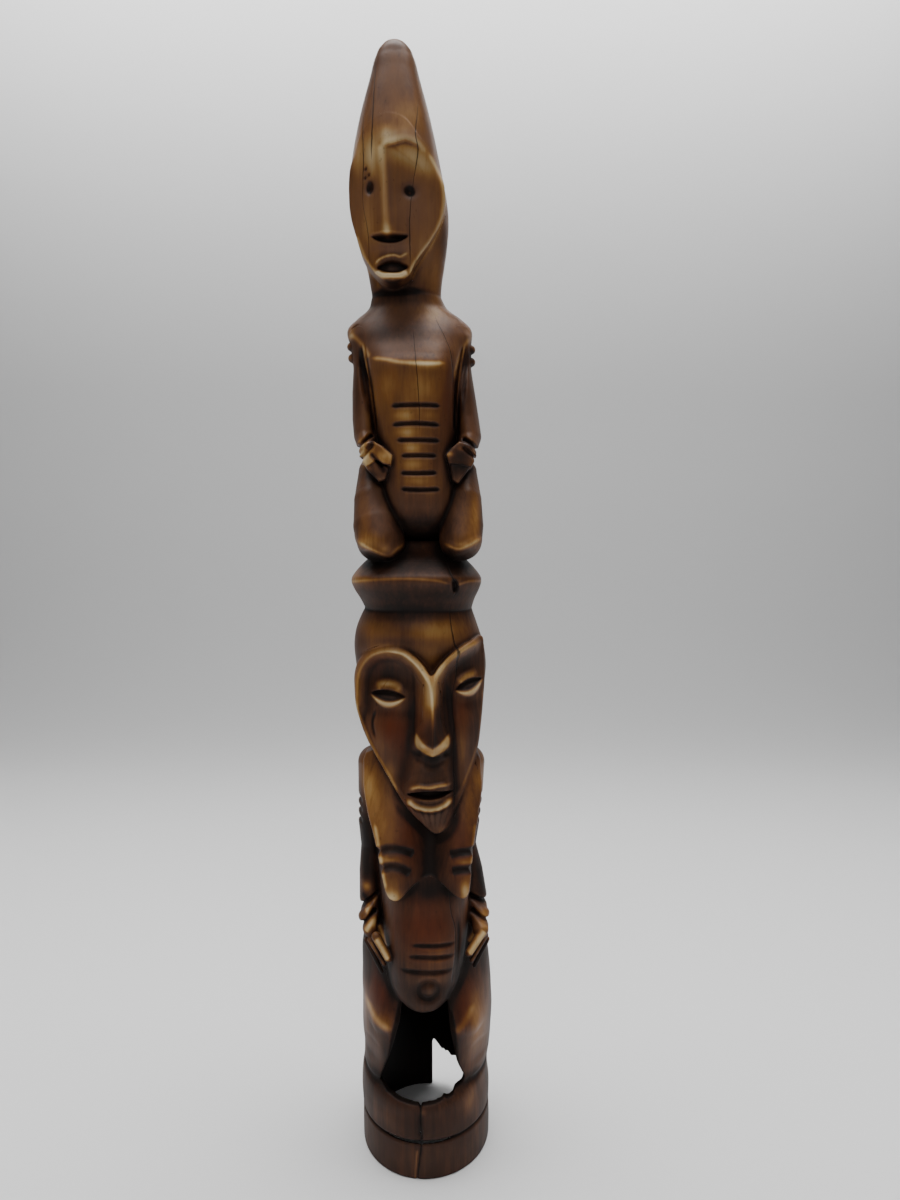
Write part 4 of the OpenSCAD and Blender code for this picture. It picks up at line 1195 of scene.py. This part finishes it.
AMBER = [
    *spots(
        (-1.6, 311, 12, 9, 0.8), (-0.6, 289, 9.6, 16, 1.0), (8, 324, 8, 10, 0.35), (6, 343, 6, 5, 0.6),
        (-13, 262, 4, 10, 0.1), (21, 260, 4, 12, 0.6), (-20, 253, 7, 4.4, 0.85), (18, 253, 7, 3, 0.3),
        (-20, 285, 3.5, 4, 0.6), (6.5, 217.5, 9.5, 5.4, 1.0), (-18, 217, 5, 6, 0.4),
        (4, 240.5, 14, 3, 0.5), (-24, 239, 4, 4, 0.6), (2.8, 189, 2.6, 12, 0.6), (-15, 171, 5, 8, 0.9),
        (-11, 161, 3.4, 6, 0.7), (18.4, 176, 3, 11, 0.85), (-19, 150, 6, 12, 0.9),
        (-12.5, 138, 5, 11, 0.85), (21, 145, 4, 14, 0.6), (-9.6, 119, 4, 4, 0.8), (-8, 126.5, 4, 2, 0.5),
        (5, 89, 11, 8, 0.75), (-12, 98, 3, 8, 0.5), (5, 80, 8, 4, 0.6), (-20.0, 68, 2.6, 7, 0.75),
        (-14, 61, 5, 2.4, 0.6), (22, 65, 3, 7, 0.7), (15.6, 58.4, 3, 2.4, 0.6), (-14, 22, 7, 6, 0.55),
        (20, 27, 5, 6, 0.5), (-8, 10, 16, 5, 0.15), (0, 399, 8, 5, 0.5), (1, 366, 5, 6, 0.6),
        (-16, 398, 4, 8, 0.4), (-20, 372, 5, 8, 0.3), (-18, 306, 4, 14, 0.7), (0, 420, 4, 8, 0.3),
    ),
]
RED = [
    *spots(
        (-11, 179, 6, 7, 1.0), (-6, 172, 3, 10, 0.5), (2.0, 183, 3, 10, 0.5), (-4, 137, 6, 14, 0.7),
        (3, 101, 13, 11, 0.9), (16.6, 184, 4, 8, 0.6), (-16, 70, 6, 8, 0.9), (19, 68, 5, 9, 0.8),
        (16.6, 132, 5, 13, 0.7), (-18, 204, 6, 6, 0.3), (-12, 314, 6, 6, 0.3), (12, 310, 4, 14, 0.4),
    ),
]
BLUSH = [
    *spots(
        (-10, 430, 12, 18, 0.8), (-20, 384, 7, 18, 0.9), (-1, 382, 10, 16, 1.1), (-15, 336, 14, 10, 0.85),
        (-10, 328, 10, 5, 0.5), (14, 336, 10, 8, 0.6), (-10.6, 366, 8, 2.4, 1.2), (-16, 268, 9, 10, 0.6),
        (16, 284, 7, 6, 0.7), (-17, 46, 7, 12, 1.0), (23, 42, 7, 14, 0.3), (-2, 231, 26, 4, 0.6),
        (3.4, 76, 10, 6, 0.8), (17.5, 92, 2.6, 14, 0.7), (5, 143.5, 7, 5, 0.9), (4, 162, 7, 3, 0.6),
        (0, 268, 10, 5, 0.4), (-23, 300, 3, 10, 0.4), (22, 300, 3, 10, 0.4), (0, 8, 30, 8, 0.5),
        (4, 362, 7, 10, 0.5), (-3, 407.4, 12, 2.6, 0.9), (4, 110, 12, 6, 0.3), (-11, 202, 12, 5, 0.4),
    ),
]
# Stain marks are partly real stain and partly painted shade: under the chin, the nose and the collar, low
# between the thighs, beside the trunk under the shoulders and in the creases at the ring.
STAIN_AND_SHADE = [
    # The lower head: stain, with painted shade under the collar's rim.
    *spots(
        (-11, 201.6, 9, 3.6, 0.5), (-3.0, 192, 3, 7, 0.4), (-19.8, 190, 2.4, 5, 0.4),
        (-11, 184.4, 8, 2.2, 0.35), (17.6, 204, 6, 3.4, 0.5), (12.6, 195, 2.4, 9, 0.6),
        (20, 187.4, 5, 2.4, 0.3), (9.0, 184, 1.8, 9, 0.55), (-3.6, 173, 3, 10, 0.35),
        (-5.8, 160, 2.4, 8, 0.35), (13.4, 172, 1.9, 17, 0.55), (14.4, 152, 1.6, 9, 0.5),
        (4.6, 161.4, 9, 3.4, 0.3), (-8, 213.2, 12, 1.8, 0.35), (-1, 223, 26, 2.0, 0.45),
        (-23, 212, 3, 5, 0.4), (25, 206, 3, 9, 0.3), (5.4, 206, 4.0, 4.4, -1.0), (-12, 170, 5, 9, 0.3),
        (20, 178, 4, 12, 0.5), (5.6, 178, 3, 7, 0.5),
    ),
    *lines(
        # The first line is a painted shadow under the nose.
        (0.6, 2.2, 0.15, (-3.2, 170.4), (0, 168.8), (5.4, 167.0), (11, 168.6), (14.0, 171)),
        (0.7, 2.4, 0.15, (-10, 149), (-4, 142.6), (2, 137.4), (7.6, 134.4), (13.4, 138), (17, 147)),
    ),
    (lens(MOUTH, 1.2), 1.1), (lens(EYES[0][:4], 1.2), 0.6), (lens(EYES[1][:4], 1.2), 0.6),
    (line(CHEEK_DENT, 1.1, 0.2), 0.45),
    # The trunk and arms of the lower figure.
    *spots(
        (5.4, 127, 5.6, 13, 0.45), (4.6, 115.0, 12, 4.6, 0.6), (-17.4, 110, 1.6, 9, 0.3),
        (-22.8, 132, 2.8, 16, 0.6), (24.6, 128, 2.8, 14, 0.6), (-21.6, 116, 2.6, 5, 0.3),
        (26.2, 110, 3, 8, 0.45), (19.4, 84, 3.6, 7, 0.4), (-14.4, 80, 2.8, 7, 0.35),
        (-15.4, 88, 1.4, 6, 0.3), (4, 79, 12, 9, 0.5), (-25, 82, 4, 9, 0.5), (-22, 72, 3.6, 8, 0.5),
        (27, 82, 4, 9, 0.5),
    ),
    *lines(
        (0.5, 1.5, 0.2, (15.6, 106), (15.9, 96), (15.4, 86), (14.8, 76)),
        (0.6, 1.6, 0.1, (-24, 106.6), (-19, 103.4)),
        (0.6, 1.6, 0.1, (-23, 92), (-15, 80)),
        (0.5, 1.6, 0.1, (28, 90), (21.5, 81)),
    ),
    # Legs and ring: stain, with painted shade in the creases where the shins meet the ring.
    *spots(
        (-11, 71, 3.2, 8, 0.4), (13.6, 70, 3.2, 9, 0.5), (-12.6, 47, 2.4, 11, 0.45),
        (16, 45, 2.2, 9, 0.4), (-17.6, 34, 5, 2.6, 0.5), (21.8, 34, 5, 2.6, 0.5), (0.2, 22, 2.4, 7, 0.35),
        (0, 20, 34, 22, 0.2), (-18, 84, 4, 8, 0.3),
    ),
    # The collar and the upper figure: stain, with painted shade on the collar's underside, low on the belly
    # between the thighs and down the trunk's sides under the arms.
    *spots(
        (-2, 226.2, 28, 2.2, 0.6), (-1, 231.0, 28, 5, 0.5), (14.6, 235.6, 1.0, 2.2, 1.2),
        (2, 243, 24, 4, 0.9), (-14, 334, 12, 6, 0.55), (0, 335, 12, 5, 0.3), (3.4, 287, 9, 9, 0.25),
        (-1, 253.0, 6, 2.4, 0.1), (0.4, 261.4, 9.6, 5.4, 0.6), (0, 269, 11, 3, 0.2),
        (-24.2, 314, 3, 16, 0.4), (20.8, 312, 3, 16, 0.4), (-16, 280.4, 4, 2.4, 0.5),
        (17, 286, 6, 4.6, 0.7), (-27.4, 329.4, 1.6, 4, 0.6), (21.6, 328, 1.6, 4, 0.6),
        (-10.8, 278.4, 2.2, 5, 0.5), (12.4, 277.6, 2.2, 5, 0.5), (-18.4, 279, 3.4, 2, 0.4),
        (-7.6, 256.4, 3.2, 6, 0.4), (11.4, 256, 2.2, 7, 0.35), (17, 280.6, 5, 2.6, 0.5),
        (-15, 300, 1.6, 8, 0.2), (13, 300, 1.6, 12, 0.2),
    ),
    *lines(
        # The first two lines are painted shade in the hollows under the shoulders.
        (0.5, 1.6, 0.15, (-23.4, 330), (-21.8, 316), (-19.8, 302)),
        (0.45, 1.6, 0.15, (19.8, 330), (18.2, 316), (17.4, 302)),
        (0.7, 1.6, 0.1, (-20.4, 288.8), (-17.2, 293.2)),
        (0.6, 1.6, 0.1, (17, 293), (22, 289.2)),
        (0.8, 1.8, 0.15, (-19.0, 287.4), (-15.8, 284.0), (-12.6, 279.4)),
    ),
    # The upper head: stain, with a painted shadow under the chin.
    *spots(
        (-8.6, 352.1, 7, 1.2, 4.5), (-8.6, 349.6, 10, 3.0, 0.5), (8, 356, 5, 9, -0.4),
        (-20.4, 354, 2.4, 7, 0.3), (-18.1, 388.5, 1.9, 2.8, 0.95), (-3.0, 387.3, 2.5, 2.4, 0.95),
        (-19.4, 394.4, 1.3, 2.6, 0.5), (12.5, 371, 3.4, 9, 0.4), (-9.4, 447, 8, 5, 0.3),
    ),
    (lens(NOSTRILS, 1.15, 0.4, True), 0.85), (lens(UPPER_MOUTH, 1.1), 0.45),
]
STAIN_AND_SHADE += [(line(points, 2.7, 0.06), 1.25) for points in RIGHT_BREAST_BANDS + LEFT_BREAST_BANDS]
STAIN_AND_SHADE += [(line(points, 1.5, 0.15), 0.8) for points in BELLY_LINES + RIB_LINES]
# Painted highlights along the knees' creases.
CREAM_AND_HIGHLIGHT += [(line(points, 1.3, 0.2), 0.4) for points in KNEE_CREASES.values()]
# A painted highlight on the crest of the right brow.
CREAM_AND_HIGHLIGHT += [(line([(-12, 209.4), (-6, 208.8), (-2.2, 206.2), (1.5, 202.2), (4.4, 197.6)], 0.7, 0.15), 0.4)]
# The lower figure is the more deeply stained: rows of height and stain.
STAIN_BY_HEIGHT = [(0, 0.36), (50, 0.34), (100, 0.32), (150, 0.22), (195, 0.12), (212, -0.02), (225, 0.05),
                   (240, 0.16), (270, 0.06), (330, 0.0), (350, -0.1), (380, -0.22), (420, -0.1), (452, 0.0)]
# Hairline cracks: rows are height, place across, half width. A width of 0 hides the line.
CRACKS = [
    [(-2, -0.4, 0.16), (8, 0.5, 0.14), (15, 1.3, 0.2), (24, 1.0, 0.26), (31, 0.9, 0.3), (34, 0.9, 0),
     (70, 14.0, 0), (77, 13.6, 0), (79, 13.6, 0.2), (84, 14.1, 0.26), (94.6, 14.8, 0.22), (99.6, 14.6, 0.2),
     (106.6, 13.0, 0.14), (113.8, 12.3, 0.1), (121, 12.0, 0), (145, 14.2, 0), (152, 14.2, 0.2),
     (157, 14.2, 0.3), (167.6, 13.8, 0.16), (179.6, 14.2, 0.12), (191, 13.4, 0.12), (200, 15.0, 0.16),
     (207, 15.7, 0.4), (208.7, 16.2, 0.5), (211.5, 14.7, 0.3), (216.3, 13.7, 0.24), (219.7, 13.0, 0.2),
     (226, 12.5, 0.12), (231, 14.0, 0.1), (234, 15.7, 0.5), (236.3, 15.0, 0.4), (238.7, 13.4, 0.28),
     (242, 12.0, 0.22), (247, 10.0, 0)],
    [(294, 0.8, 0), (299, 0.8, 0.1), (307, 0.6, 0.14), (317.7, -0.1, 0.14), (324.6, -0.8, 0.11),
     (334, -1.8, 0.07), (338, -2.2, 0), (358, -2.8, 0), (362, -2.8, 0.11), (378.6, -2.8, 0.14),
     (391, -1.5, 0.08), (397.5, -0.4, 0.17), (403, 0.3, 0.21), (406.5, -0.4, 0.18), (417, 0.0, 0.08),
     (424, 0.4, 0)],
    [(310, 13.8, 0), (314, 13.8, 0.08), (320.6, 13.5, 0.14), (328, 12.4, 0.14), (333, 10.4, 0.11),
     (339, 7.6, 0.07), (343, 6, 0), (357, -18.8, 0), (362, -18.8, 0.08), (371, -19.0, 0.1),
     (383, -21, 0.08), (398, -20.7, 0.18), (413, -21.0, 0.1), (420, -20.6, 0)],
    [(398, -17.4, 0), (403, -17.4, 0.18), (413, -17.1, 0.18), (427.5, -16.7, 0.14), (437.5, -16.4, 0.07),
     (442, -16.0, 0)],
]


def blur(values, sigma):
    """Gaussian smoothing of a grid, with sigma in cells."""
    reach = int(math.ceil(2.5 * sigma))
    weights = np.exp(-0.5 * (np.arange(-reach, reach + 1) / sigma) ** 2)
    weights = (weights / weights.sum()).astype(np.float32)
    for axis in range(3):
        padded = np.pad(values, [(reach, reach) if a == axis else (0, 0) for a in range(3)], mode="edge")
        total = np.zeros_like(values)
        for i, weight in enumerate(weights):
            part = [slice(None)] * 3
            part[axis] = slice(i, i + values.shape[axis])
            total += weight * padded[tuple(part)]
        values = total
    return values


class Relief:
    """How far each place stands out from, or lies back in, the bone round it."""

    def __init__(self, clay):
        self.clay = clay
        fine = max(1, round(0.7 / clay.pitch))
        broad = max(1, round(1.6 / clay.pitch))
        self.layers = []
        for step, size in ((fine, 1.1), (broad, 4.0)):
            coarse = np.clip(clay.whole[::step, ::step, ::step], -2.2 * size, 2.2 * size)
            cell = step * clay.pitch
            self.layers.append((blur(coarse, size / cell), cell, size))

    def at(self, points):
        """For points in millimetres: (fine, broad), positive on ridges and negative in hollows."""
        return [sample(values, (points - self.clay.low) / cell) / size for values, cell,
                size in self.layers]


def lay_on(marks, x, z):
    total = np.zeros(len(x))
    for mask, strength in marks:
        total += strength * mask(x, z)
    return total


def paint(points, normals, relief):
    """The colour masks at each point, from how the bone stands there and from the listed marks."""
    x, y, z = points.T
    fine, broad = relief.at(points)
    front = smoothstep(0.15, -0.25, normals[:, 1]) * smoothstep(6, -4, y)
    # Painted shade over the inner walls of the hollow foot.
    inside = smoothstep(1.6, 3.2, (1 - np.hypot((x - 2.5) / 25.2, y / 32.8)) * 27) * smoothstep(84, 70, z)
    # Painted shade: faces that look downwards are darkened.
    under = smoothstep(-0.2, -0.85, normals[:, 2])
    stain_and_shade = 0.6 * smoothstep(0.02, -0.36, fine) + 0.45 * smoothstep(0.04, -0.40, broad)
    stain_and_shade = np.minimum(stain_and_shade, 0.75) + 0.4 * under + curve(STAIN_BY_HEIGHT, z)
    stain_and_shade = stain_and_shade + 0.85 * front * lay_on(STAIN_AND_SHADE, x, z) + 1.6 * inside
    # Cream: pale bone showing on the ridges, plus the cream marks, some of them painted highlights.
    cream_and_highlight = 0.34 * smoothstep(0.12, 0.5, fine) + 0.08 * smoothstep(0.22, 0.6, broad)
    cream_and_highlight = cream_and_highlight * smoothstep(0.9, 0.1, stain_and_shade) + 0.85 * front * lay_on(CREAM_AND_HIGHLIGHT, x, z)
    masks = {
        "stain_and_shade": np.clip(stain_and_shade, -0.4, 1.0),
        "cream_and_highlight": np.clip(cream_and_highlight, 0, 1.3),
        "amber": np.clip(front * lay_on(AMBER, x, z), 0, 1.2),
        "red": np.clip(front * lay_on(RED, x, z), 0, 1.2),
        "blush": np.clip(front * lay_on(BLUSH, x, z), 0, 1.2),
    }
    for number, rows in enumerate(CRACKS):
        across, width = table(rows, z).T
        gap = np.where(y < 0, x - across, 99) / np.maximum(width, 0.004)
        masks[f"crack_{number}"] = np.clip(gap, -30, 30)
    return masks


def build_pieces(clay, material_for):
    relief = Relief(clay)
    taken = np.full_like(clay.field, FAR)
    for node, form in claims():
        distance, low, high = form
        where, (x, y, z) = clay.window(low, high)
        claim = distance(x, y, z).astype(np.float32) + np.zeros((x.size, y.size, z.size), np.float32)
        region = np.maximum(claim, -taken[where])
        taken[where] = np.minimum(taken[where], claim)
        made = skin(clay.field[where], region)
        if made is None:
            raise RuntimeError(f"{node} holds no bone")
        cells, quads, kinds, (bone_normals, edge_normals) = made
        corner = clay.low + np.array([part.start for part in where]) * clay.pitch
        points = corner + cells * clay.pitch
        mesh = bpy.data.meshes.new(f"{node}_carved")
        mesh.from_pydata(points * MM, [], quads)
        mesh.polygons.foreach_set("use_smooth", np.ones(len(quads), bool))
        flat = quads.ravel()
        facing = np.where(np.repeat(kinds, 4)[:, None], bone_normals[flat], edge_normals[flat])
        for name, values in paint(points, bone_normals, relief).items():
            mesh.attributes.new(name, "FLOAT", "POINT").data.foreach_set("value", values.astype(np.float32))
        mesh.update()
        mesh.normals_split_custom_set(facing.tolist())
        piece = bpy.data.objects.new(f"{node}_carved", mesh)
        bpy.context.collection.objects.link(piece)
        mesh.materials.append(material_for[node])
        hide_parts(node)
        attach(piece, "root")


# ---- Materials --------------------------------------------------------------------------------

SLOTS = {part["node"]: part["material_slot"] for part in frame["record"]["subparts"]}


def srgb(red, green, blue):
    """A colour given as 0 to 255 screen values, made linear."""
    parts = [value / 255 for value in (red, green, blue)]
    return [part / 12.92 if part <= 0.04045 else ((part + 0.055) / 1.055) ** 2.4 for part in parts] + [1]


class Nodes:
    """Short ways to make and link shader nodes."""

    def __init__(self, material):
        self.tree = material.node_tree

    def make(self, kind, **settings):
        node = self.tree.nodes.new(kind)
        for name, value in settings.items():
            setattr(node, name, value)
        return node

    def feed(self, socket, value):
        if isinstance(value, bpy.types.NodeSocket):
            self.tree.links.new(value, socket)
        else:
            socket.default_value = value

    def math(self, operation, a, b=0.0, clamp=False):
        node = self.make("ShaderNodeMath", operation=operation, use_clamp=clamp)
        self.feed(node.inputs[0], a)
        self.feed(node.inputs[1], b)
        return node.outputs[0]

    def add(self, a, b, share, clamp=False):
        """a and a share of b."""
        return self.math("ADD", a, self.math("MULTIPLY", b, share), clamp)

    def mix(self, factor, a, b):
        node = self.make("ShaderNodeMix", data_type="RGBA", clamp_factor=True)
        self.feed(node.inputs["Factor"], factor)
        self.feed(node.inputs[6], a)
        self.feed(node.inputs[7], b)
        return node.outputs[2]

    def step(self, value, low, high, to_low=0.0, to_high=1.0):
        node = self.make("ShaderNodeMapRange", interpolation_type="SMOOTHSTEP")
        for socket, number in zip(node.inputs[1:5], (low, high, to_low, to_high)):
            socket.default_value = number
        self.feed(node.inputs[0], value)
        return node.outputs[0]

    def attribute(self, name):
        return self.make("ShaderNodeAttribute", attribute_name=name).outputs["Fac"]

    def noise(self, where, scale, stretch=(1, 1, 1), detail=3.0, rough=0.55, offset=(0, 0, 0)):
        mapping = self.make("ShaderNodeMapping")
        mapping.inputs["Scale"].default_value = stretch
        mapping.inputs["Location"].default_value = offset
        self.feed(mapping.inputs["Vector"], where)
        node = self.make("ShaderNodeTexNoise")
        node.inputs["Scale"].default_value = scale
        node.inputs["Detail"].default_value = detail
        node.inputs["Roughness"].default_value = rough
        self.feed(node.inputs["Vector"], mapping.outputs[0])
        return node.outputs["Fac"]


# How thin the stain lies on each slot's bone, on the scale of STAIN_RAMP.
BONE_TONES = {"stained_bone": 0.41, "pale_bone": 0.43, "dark_bone": 0.40}
STAIN_RAMP = [
    (0.00, srgb(15, 9, 7)), (0.13, srgb(31, 19, 14)), (0.27, srgb(55, 33, 22)), (0.41, srgb(86, 54, 33)),
    (0.55, srgb(124, 82, 42)), (0.68, srgb(158, 117, 64)), (0.83, srgb(186, 157, 108)),
    (1.00, srgb(216, 194, 152)),
]
NEAR_BLACK = srgb(18, 11, 9)
RED_BROWN = srgb(88, 36, 13)
PINK_BROWN = srgb(120, 88, 70)


def bareness(n, tone, streaks, clouds):
    """One scale from thick stain and painted shade to bare bone and painted highlight, so every edge passes
    through brown and ochre.
    """
    bare = n.add(tone, n.attribute("amber"), 0.19)
    bare = n.add(bare, n.attribute("cream_and_highlight"), 0.50)
    bare = n.add(bare, n.attribute("stain_and_shade"), -0.34)
    bare = n.add(bare, streaks, 0.34)
    return n.add(bare, clouds, 0.34, clamp=True)


def bone_colour(n, bare, streaks, clouds):
    """The stain's colour by how bare the bone is, then pink and red-brown where they are laid on."""
    ramp = n.make("ShaderNodeValToRGB")
    stops = ramp.color_ramp.elements
    stops[0].position, stops[0].color = STAIN_RAMP[0]
    stops[1].position, stops[1].color = STAIN_RAMP[-1]
    for position, colour in STAIN_RAMP[1:-1]:
        stops.new(position).color = colour
    n.feed(ramp.inputs[0], bare)
    thin = n.step(n.attribute("stain_and_shade"), 0.7, 0.1)
    blush = n.math("MULTIPLY", n.math("ADD", n.attribute("blush"), clouds), thin)
    colour = n.mix(n.math("MULTIPLY", blush, 0.5, clamp=True), ramp.outputs[0], PINK_BROWN)
    red = n.math("MULTIPLY", n.math("ADD", n.attribute("red"), streaks), 0.7, clamp=True)
    red = n.math("MULTIPLY", red, n.step(n.attribute("stain_and_shade"), 1.0, 0.5))
    return n.mix(red, colour, RED_BROWN)


def crack_lines(n, where):
    """The cracks, thin and ragged: 1 in a crack and 0 beside it."""
    wobble = n.math("MULTIPLY", n.math("SUBTRACT", n.noise(where, 420, (1, 1, 0.5), 2), 0.5), 2.6)
    cracked = 0.0
    for number in range(len(CRACKS)):
        apart = n.math("ABSOLUTE", n.math("ADD", n.attribute(f"crack_{number}"), wobble))
        cracked = n.math("MAXIMUM", n.step(apart, 0.6, 1.7, 1.0, 0.0), cracked)
    return cracked


def bone_material(name, tone):
    """Varnished bone: upright grain, stain lying in the cuts and ivory showing where it is worn, with
    painted shade in the stain and painted highlights in the cream.
    """
    material = bpy.data.materials.new(name)
    material.use_nodes = True
    n = Nodes(material)
    shader = n.tree.nodes["Principled BSDF"]
    where = n.make("ShaderNodeTexCoord").outputs["Object"]
    grain = n.noise(where, 900, (1, 1, 0.035), 4, 0.6)
    fibre = n.noise(where, 260, (1, 1, 0.05), 3, 0.6, (0.3, 0.1, 0))
    cloud = n.noise(where, 60, (1, 1, 0.5), 4, 0.6, (0.7, 0.2, 0.4))
    fleck = n.noise(where, 620, (1, 1, 0.6), 2, 0.5)
    ripple = n.noise(where, 190, (1, 1, 0.5), 2, 0.5, (0.1, 0.9, 0.3))
    streak = n.math("ADD", n.math("MULTIPLY", grain, 0.45), n.math("MULTIPLY", fibre, 0.55))
    streaks = n.math("SUBTRACT", streak, 0.5)
    clouds = n.math("SUBTRACT", cloud, 0.5)
    bare = bareness(n, tone, streaks, clouds)
    cracked = crack_lines(n, where)
    colour = bone_colour(n, bare, streaks, clouds)
    colour = n.mix(n.step(fleck, 0.66, 0.78, 0.0, 0.3), colour, NEAR_BLACK)
    n.feed(shader.inputs["Base Color"], n.mix(n.math("MULTIPLY", cracked, 0.8), colour, NEAR_BLACK))
    # Worn ridges shine, and stain lying in a cut is duller.
    dull = n.add(n.step(bare, 0.12, 0.60, 0.60, 0.36), clouds, 0.16)
    n.feed(shader.inputs["Roughness"], n.add(dull, streaks, 0.2, clamp=True))
    shader.inputs["Specular IOR Level"].default_value = 0.18
    height = n.add(n.math("MULTIPLY", streak, 0.35), fleck, 0.12)
    height = n.add(height, cracked, -1.4)
    bump = n.make("ShaderNodeBump")
    bump.inputs["Strength"].default_value = 0.4
    bump.inputs["Distance"].default_value = 0.0004
    n.feed(bump.inputs["Height"], n.add(height, ripple, 0.9))
    n.feed(shader.inputs["Normal"], bump.outputs[0])
    return material


# ---- The stage --------------------------------------------------------------------------------

def plain_material(name, colour, roughness):
    material = bpy.data.materials.new(name)
    material.use_nodes = True
    n = Nodes(material)
    shader = n.tree.nodes["Principled BSDF"]
    where = n.make("ShaderNodeTexCoord").outputs["Object"]
    speck = n.noise(where, 9, (1, 1, 1), 3)
    shade = n.mix(n.math("MULTIPLY", speck, 0.25), colour, [part * 0.94 for part in colour[:3]] + [1])
    n.feed(shader.inputs["Base Color"], shade)
    shader.inputs["Roughness"].default_value = roughness
    return material


def build_stage():
    """A pale floor that sweeps up into a backdrop."""
    width, near, far, rise, bend = 5.0, -1.6, 1.15, 2.6, 0.5
    turns = 24
    side = [(near, 0.0), (far - bend, 0.0)]
    side += [(far - bend + bend * math.sin(a), bend - bend * math.cos(a))
             for a in (math.pi / 2 * i / turns for i in range(1, turns + 1))]
    side.append((far, rise))
    points = [(x, y, z) for y, z in side for x in (-width / 2, width / 2)]
    quads = [(2 * i, 2 * i + 1, 2 * i + 3, 2 * i + 2) for i in range(len(side) - 1)]
    mesh = bpy.data.meshes.new("sweep")
    mesh.from_pydata(points, [], quads)
    mesh.polygons.foreach_set("use_smooth", [True] * len(quads))
    sweep = bpy.data.objects.new("sweep", mesh)
    bpy.context.collection.objects.link(sweep)
    mesh.materials.append(plain_material("pale_paper", srgb(226, 226, 226), 0.75))


def area_light(name, at, aim, size, power, spread=180):
    data = bpy.data.lights.new(name, "AREA")
    data.shape = "RECTANGLE"
    data.size, data.size_y = size
    data.energy = power
    data.spread = math.radians(spread)
    lamp = bpy.data.objects.new(name, data)
    lamp.location = at
    lamp.rotation_euler = (Vector(aim) - Vector(at)).to_track_quat("-Z", "Y").to_euler()
    bpy.context.collection.objects.link(lamp)


def light_stage():
    """A soft box overhead, kept off the backdrop, a dim room in front and a lamp for the backdrop's top."""
    world = bpy.data.worlds.new("studio")
    world.use_nodes = True
    world.node_tree.nodes["Background"].inputs["Color"].default_value = (0.96, 0.98, 1.0, 1)
    world.node_tree.nodes["Background"].inputs["Strength"].default_value = 0.09
    bpy.context.scene.world = world
    area_light("overhead", (0.0, 0.10, 1.40), (0, 0.06, 0), (1.5, 0.7), 8.3, 80)
    area_light("room", (-0.1, -1.35, 1.20), (0, 0, 0.25), (1.6, 1.2), 3.4, 120)
    area_light("back_top", (0.0, 0.60, 1.45), (0, 1.15, 1.15), (2.0, 0.2), 12.0, 110)


def place_camera():
    """A hand-held phone's view: close, a little below the middle and pointing slightly down."""
    data = bpy.data.cameras.new("view")
    data.lens_unit = "MILLIMETERS"
    data.sensor_fit = "VERTICAL"
    data.sensor_height = 36.0
    data.lens = 27.9
    data.clip_start = 0.01
    camera = bpy.data.objects.new("view", data)
    camera.location = (12.6 * MM, -388.5 * MM, 252 * MM)
    camera.rotation_euler = (math.radians(90 - 3.5), 0, 0)
    bpy.context.collection.objects.link(camera)
    bpy.context.scene.camera = camera


place_camera()
build_stage()
light_stage()
bone = {name: bone_material(name, tone) for name, tone in BONE_TONES.items()}
build_pieces(sculpt(), {node: bone[slot] for node, slot in SLOTS.items()})
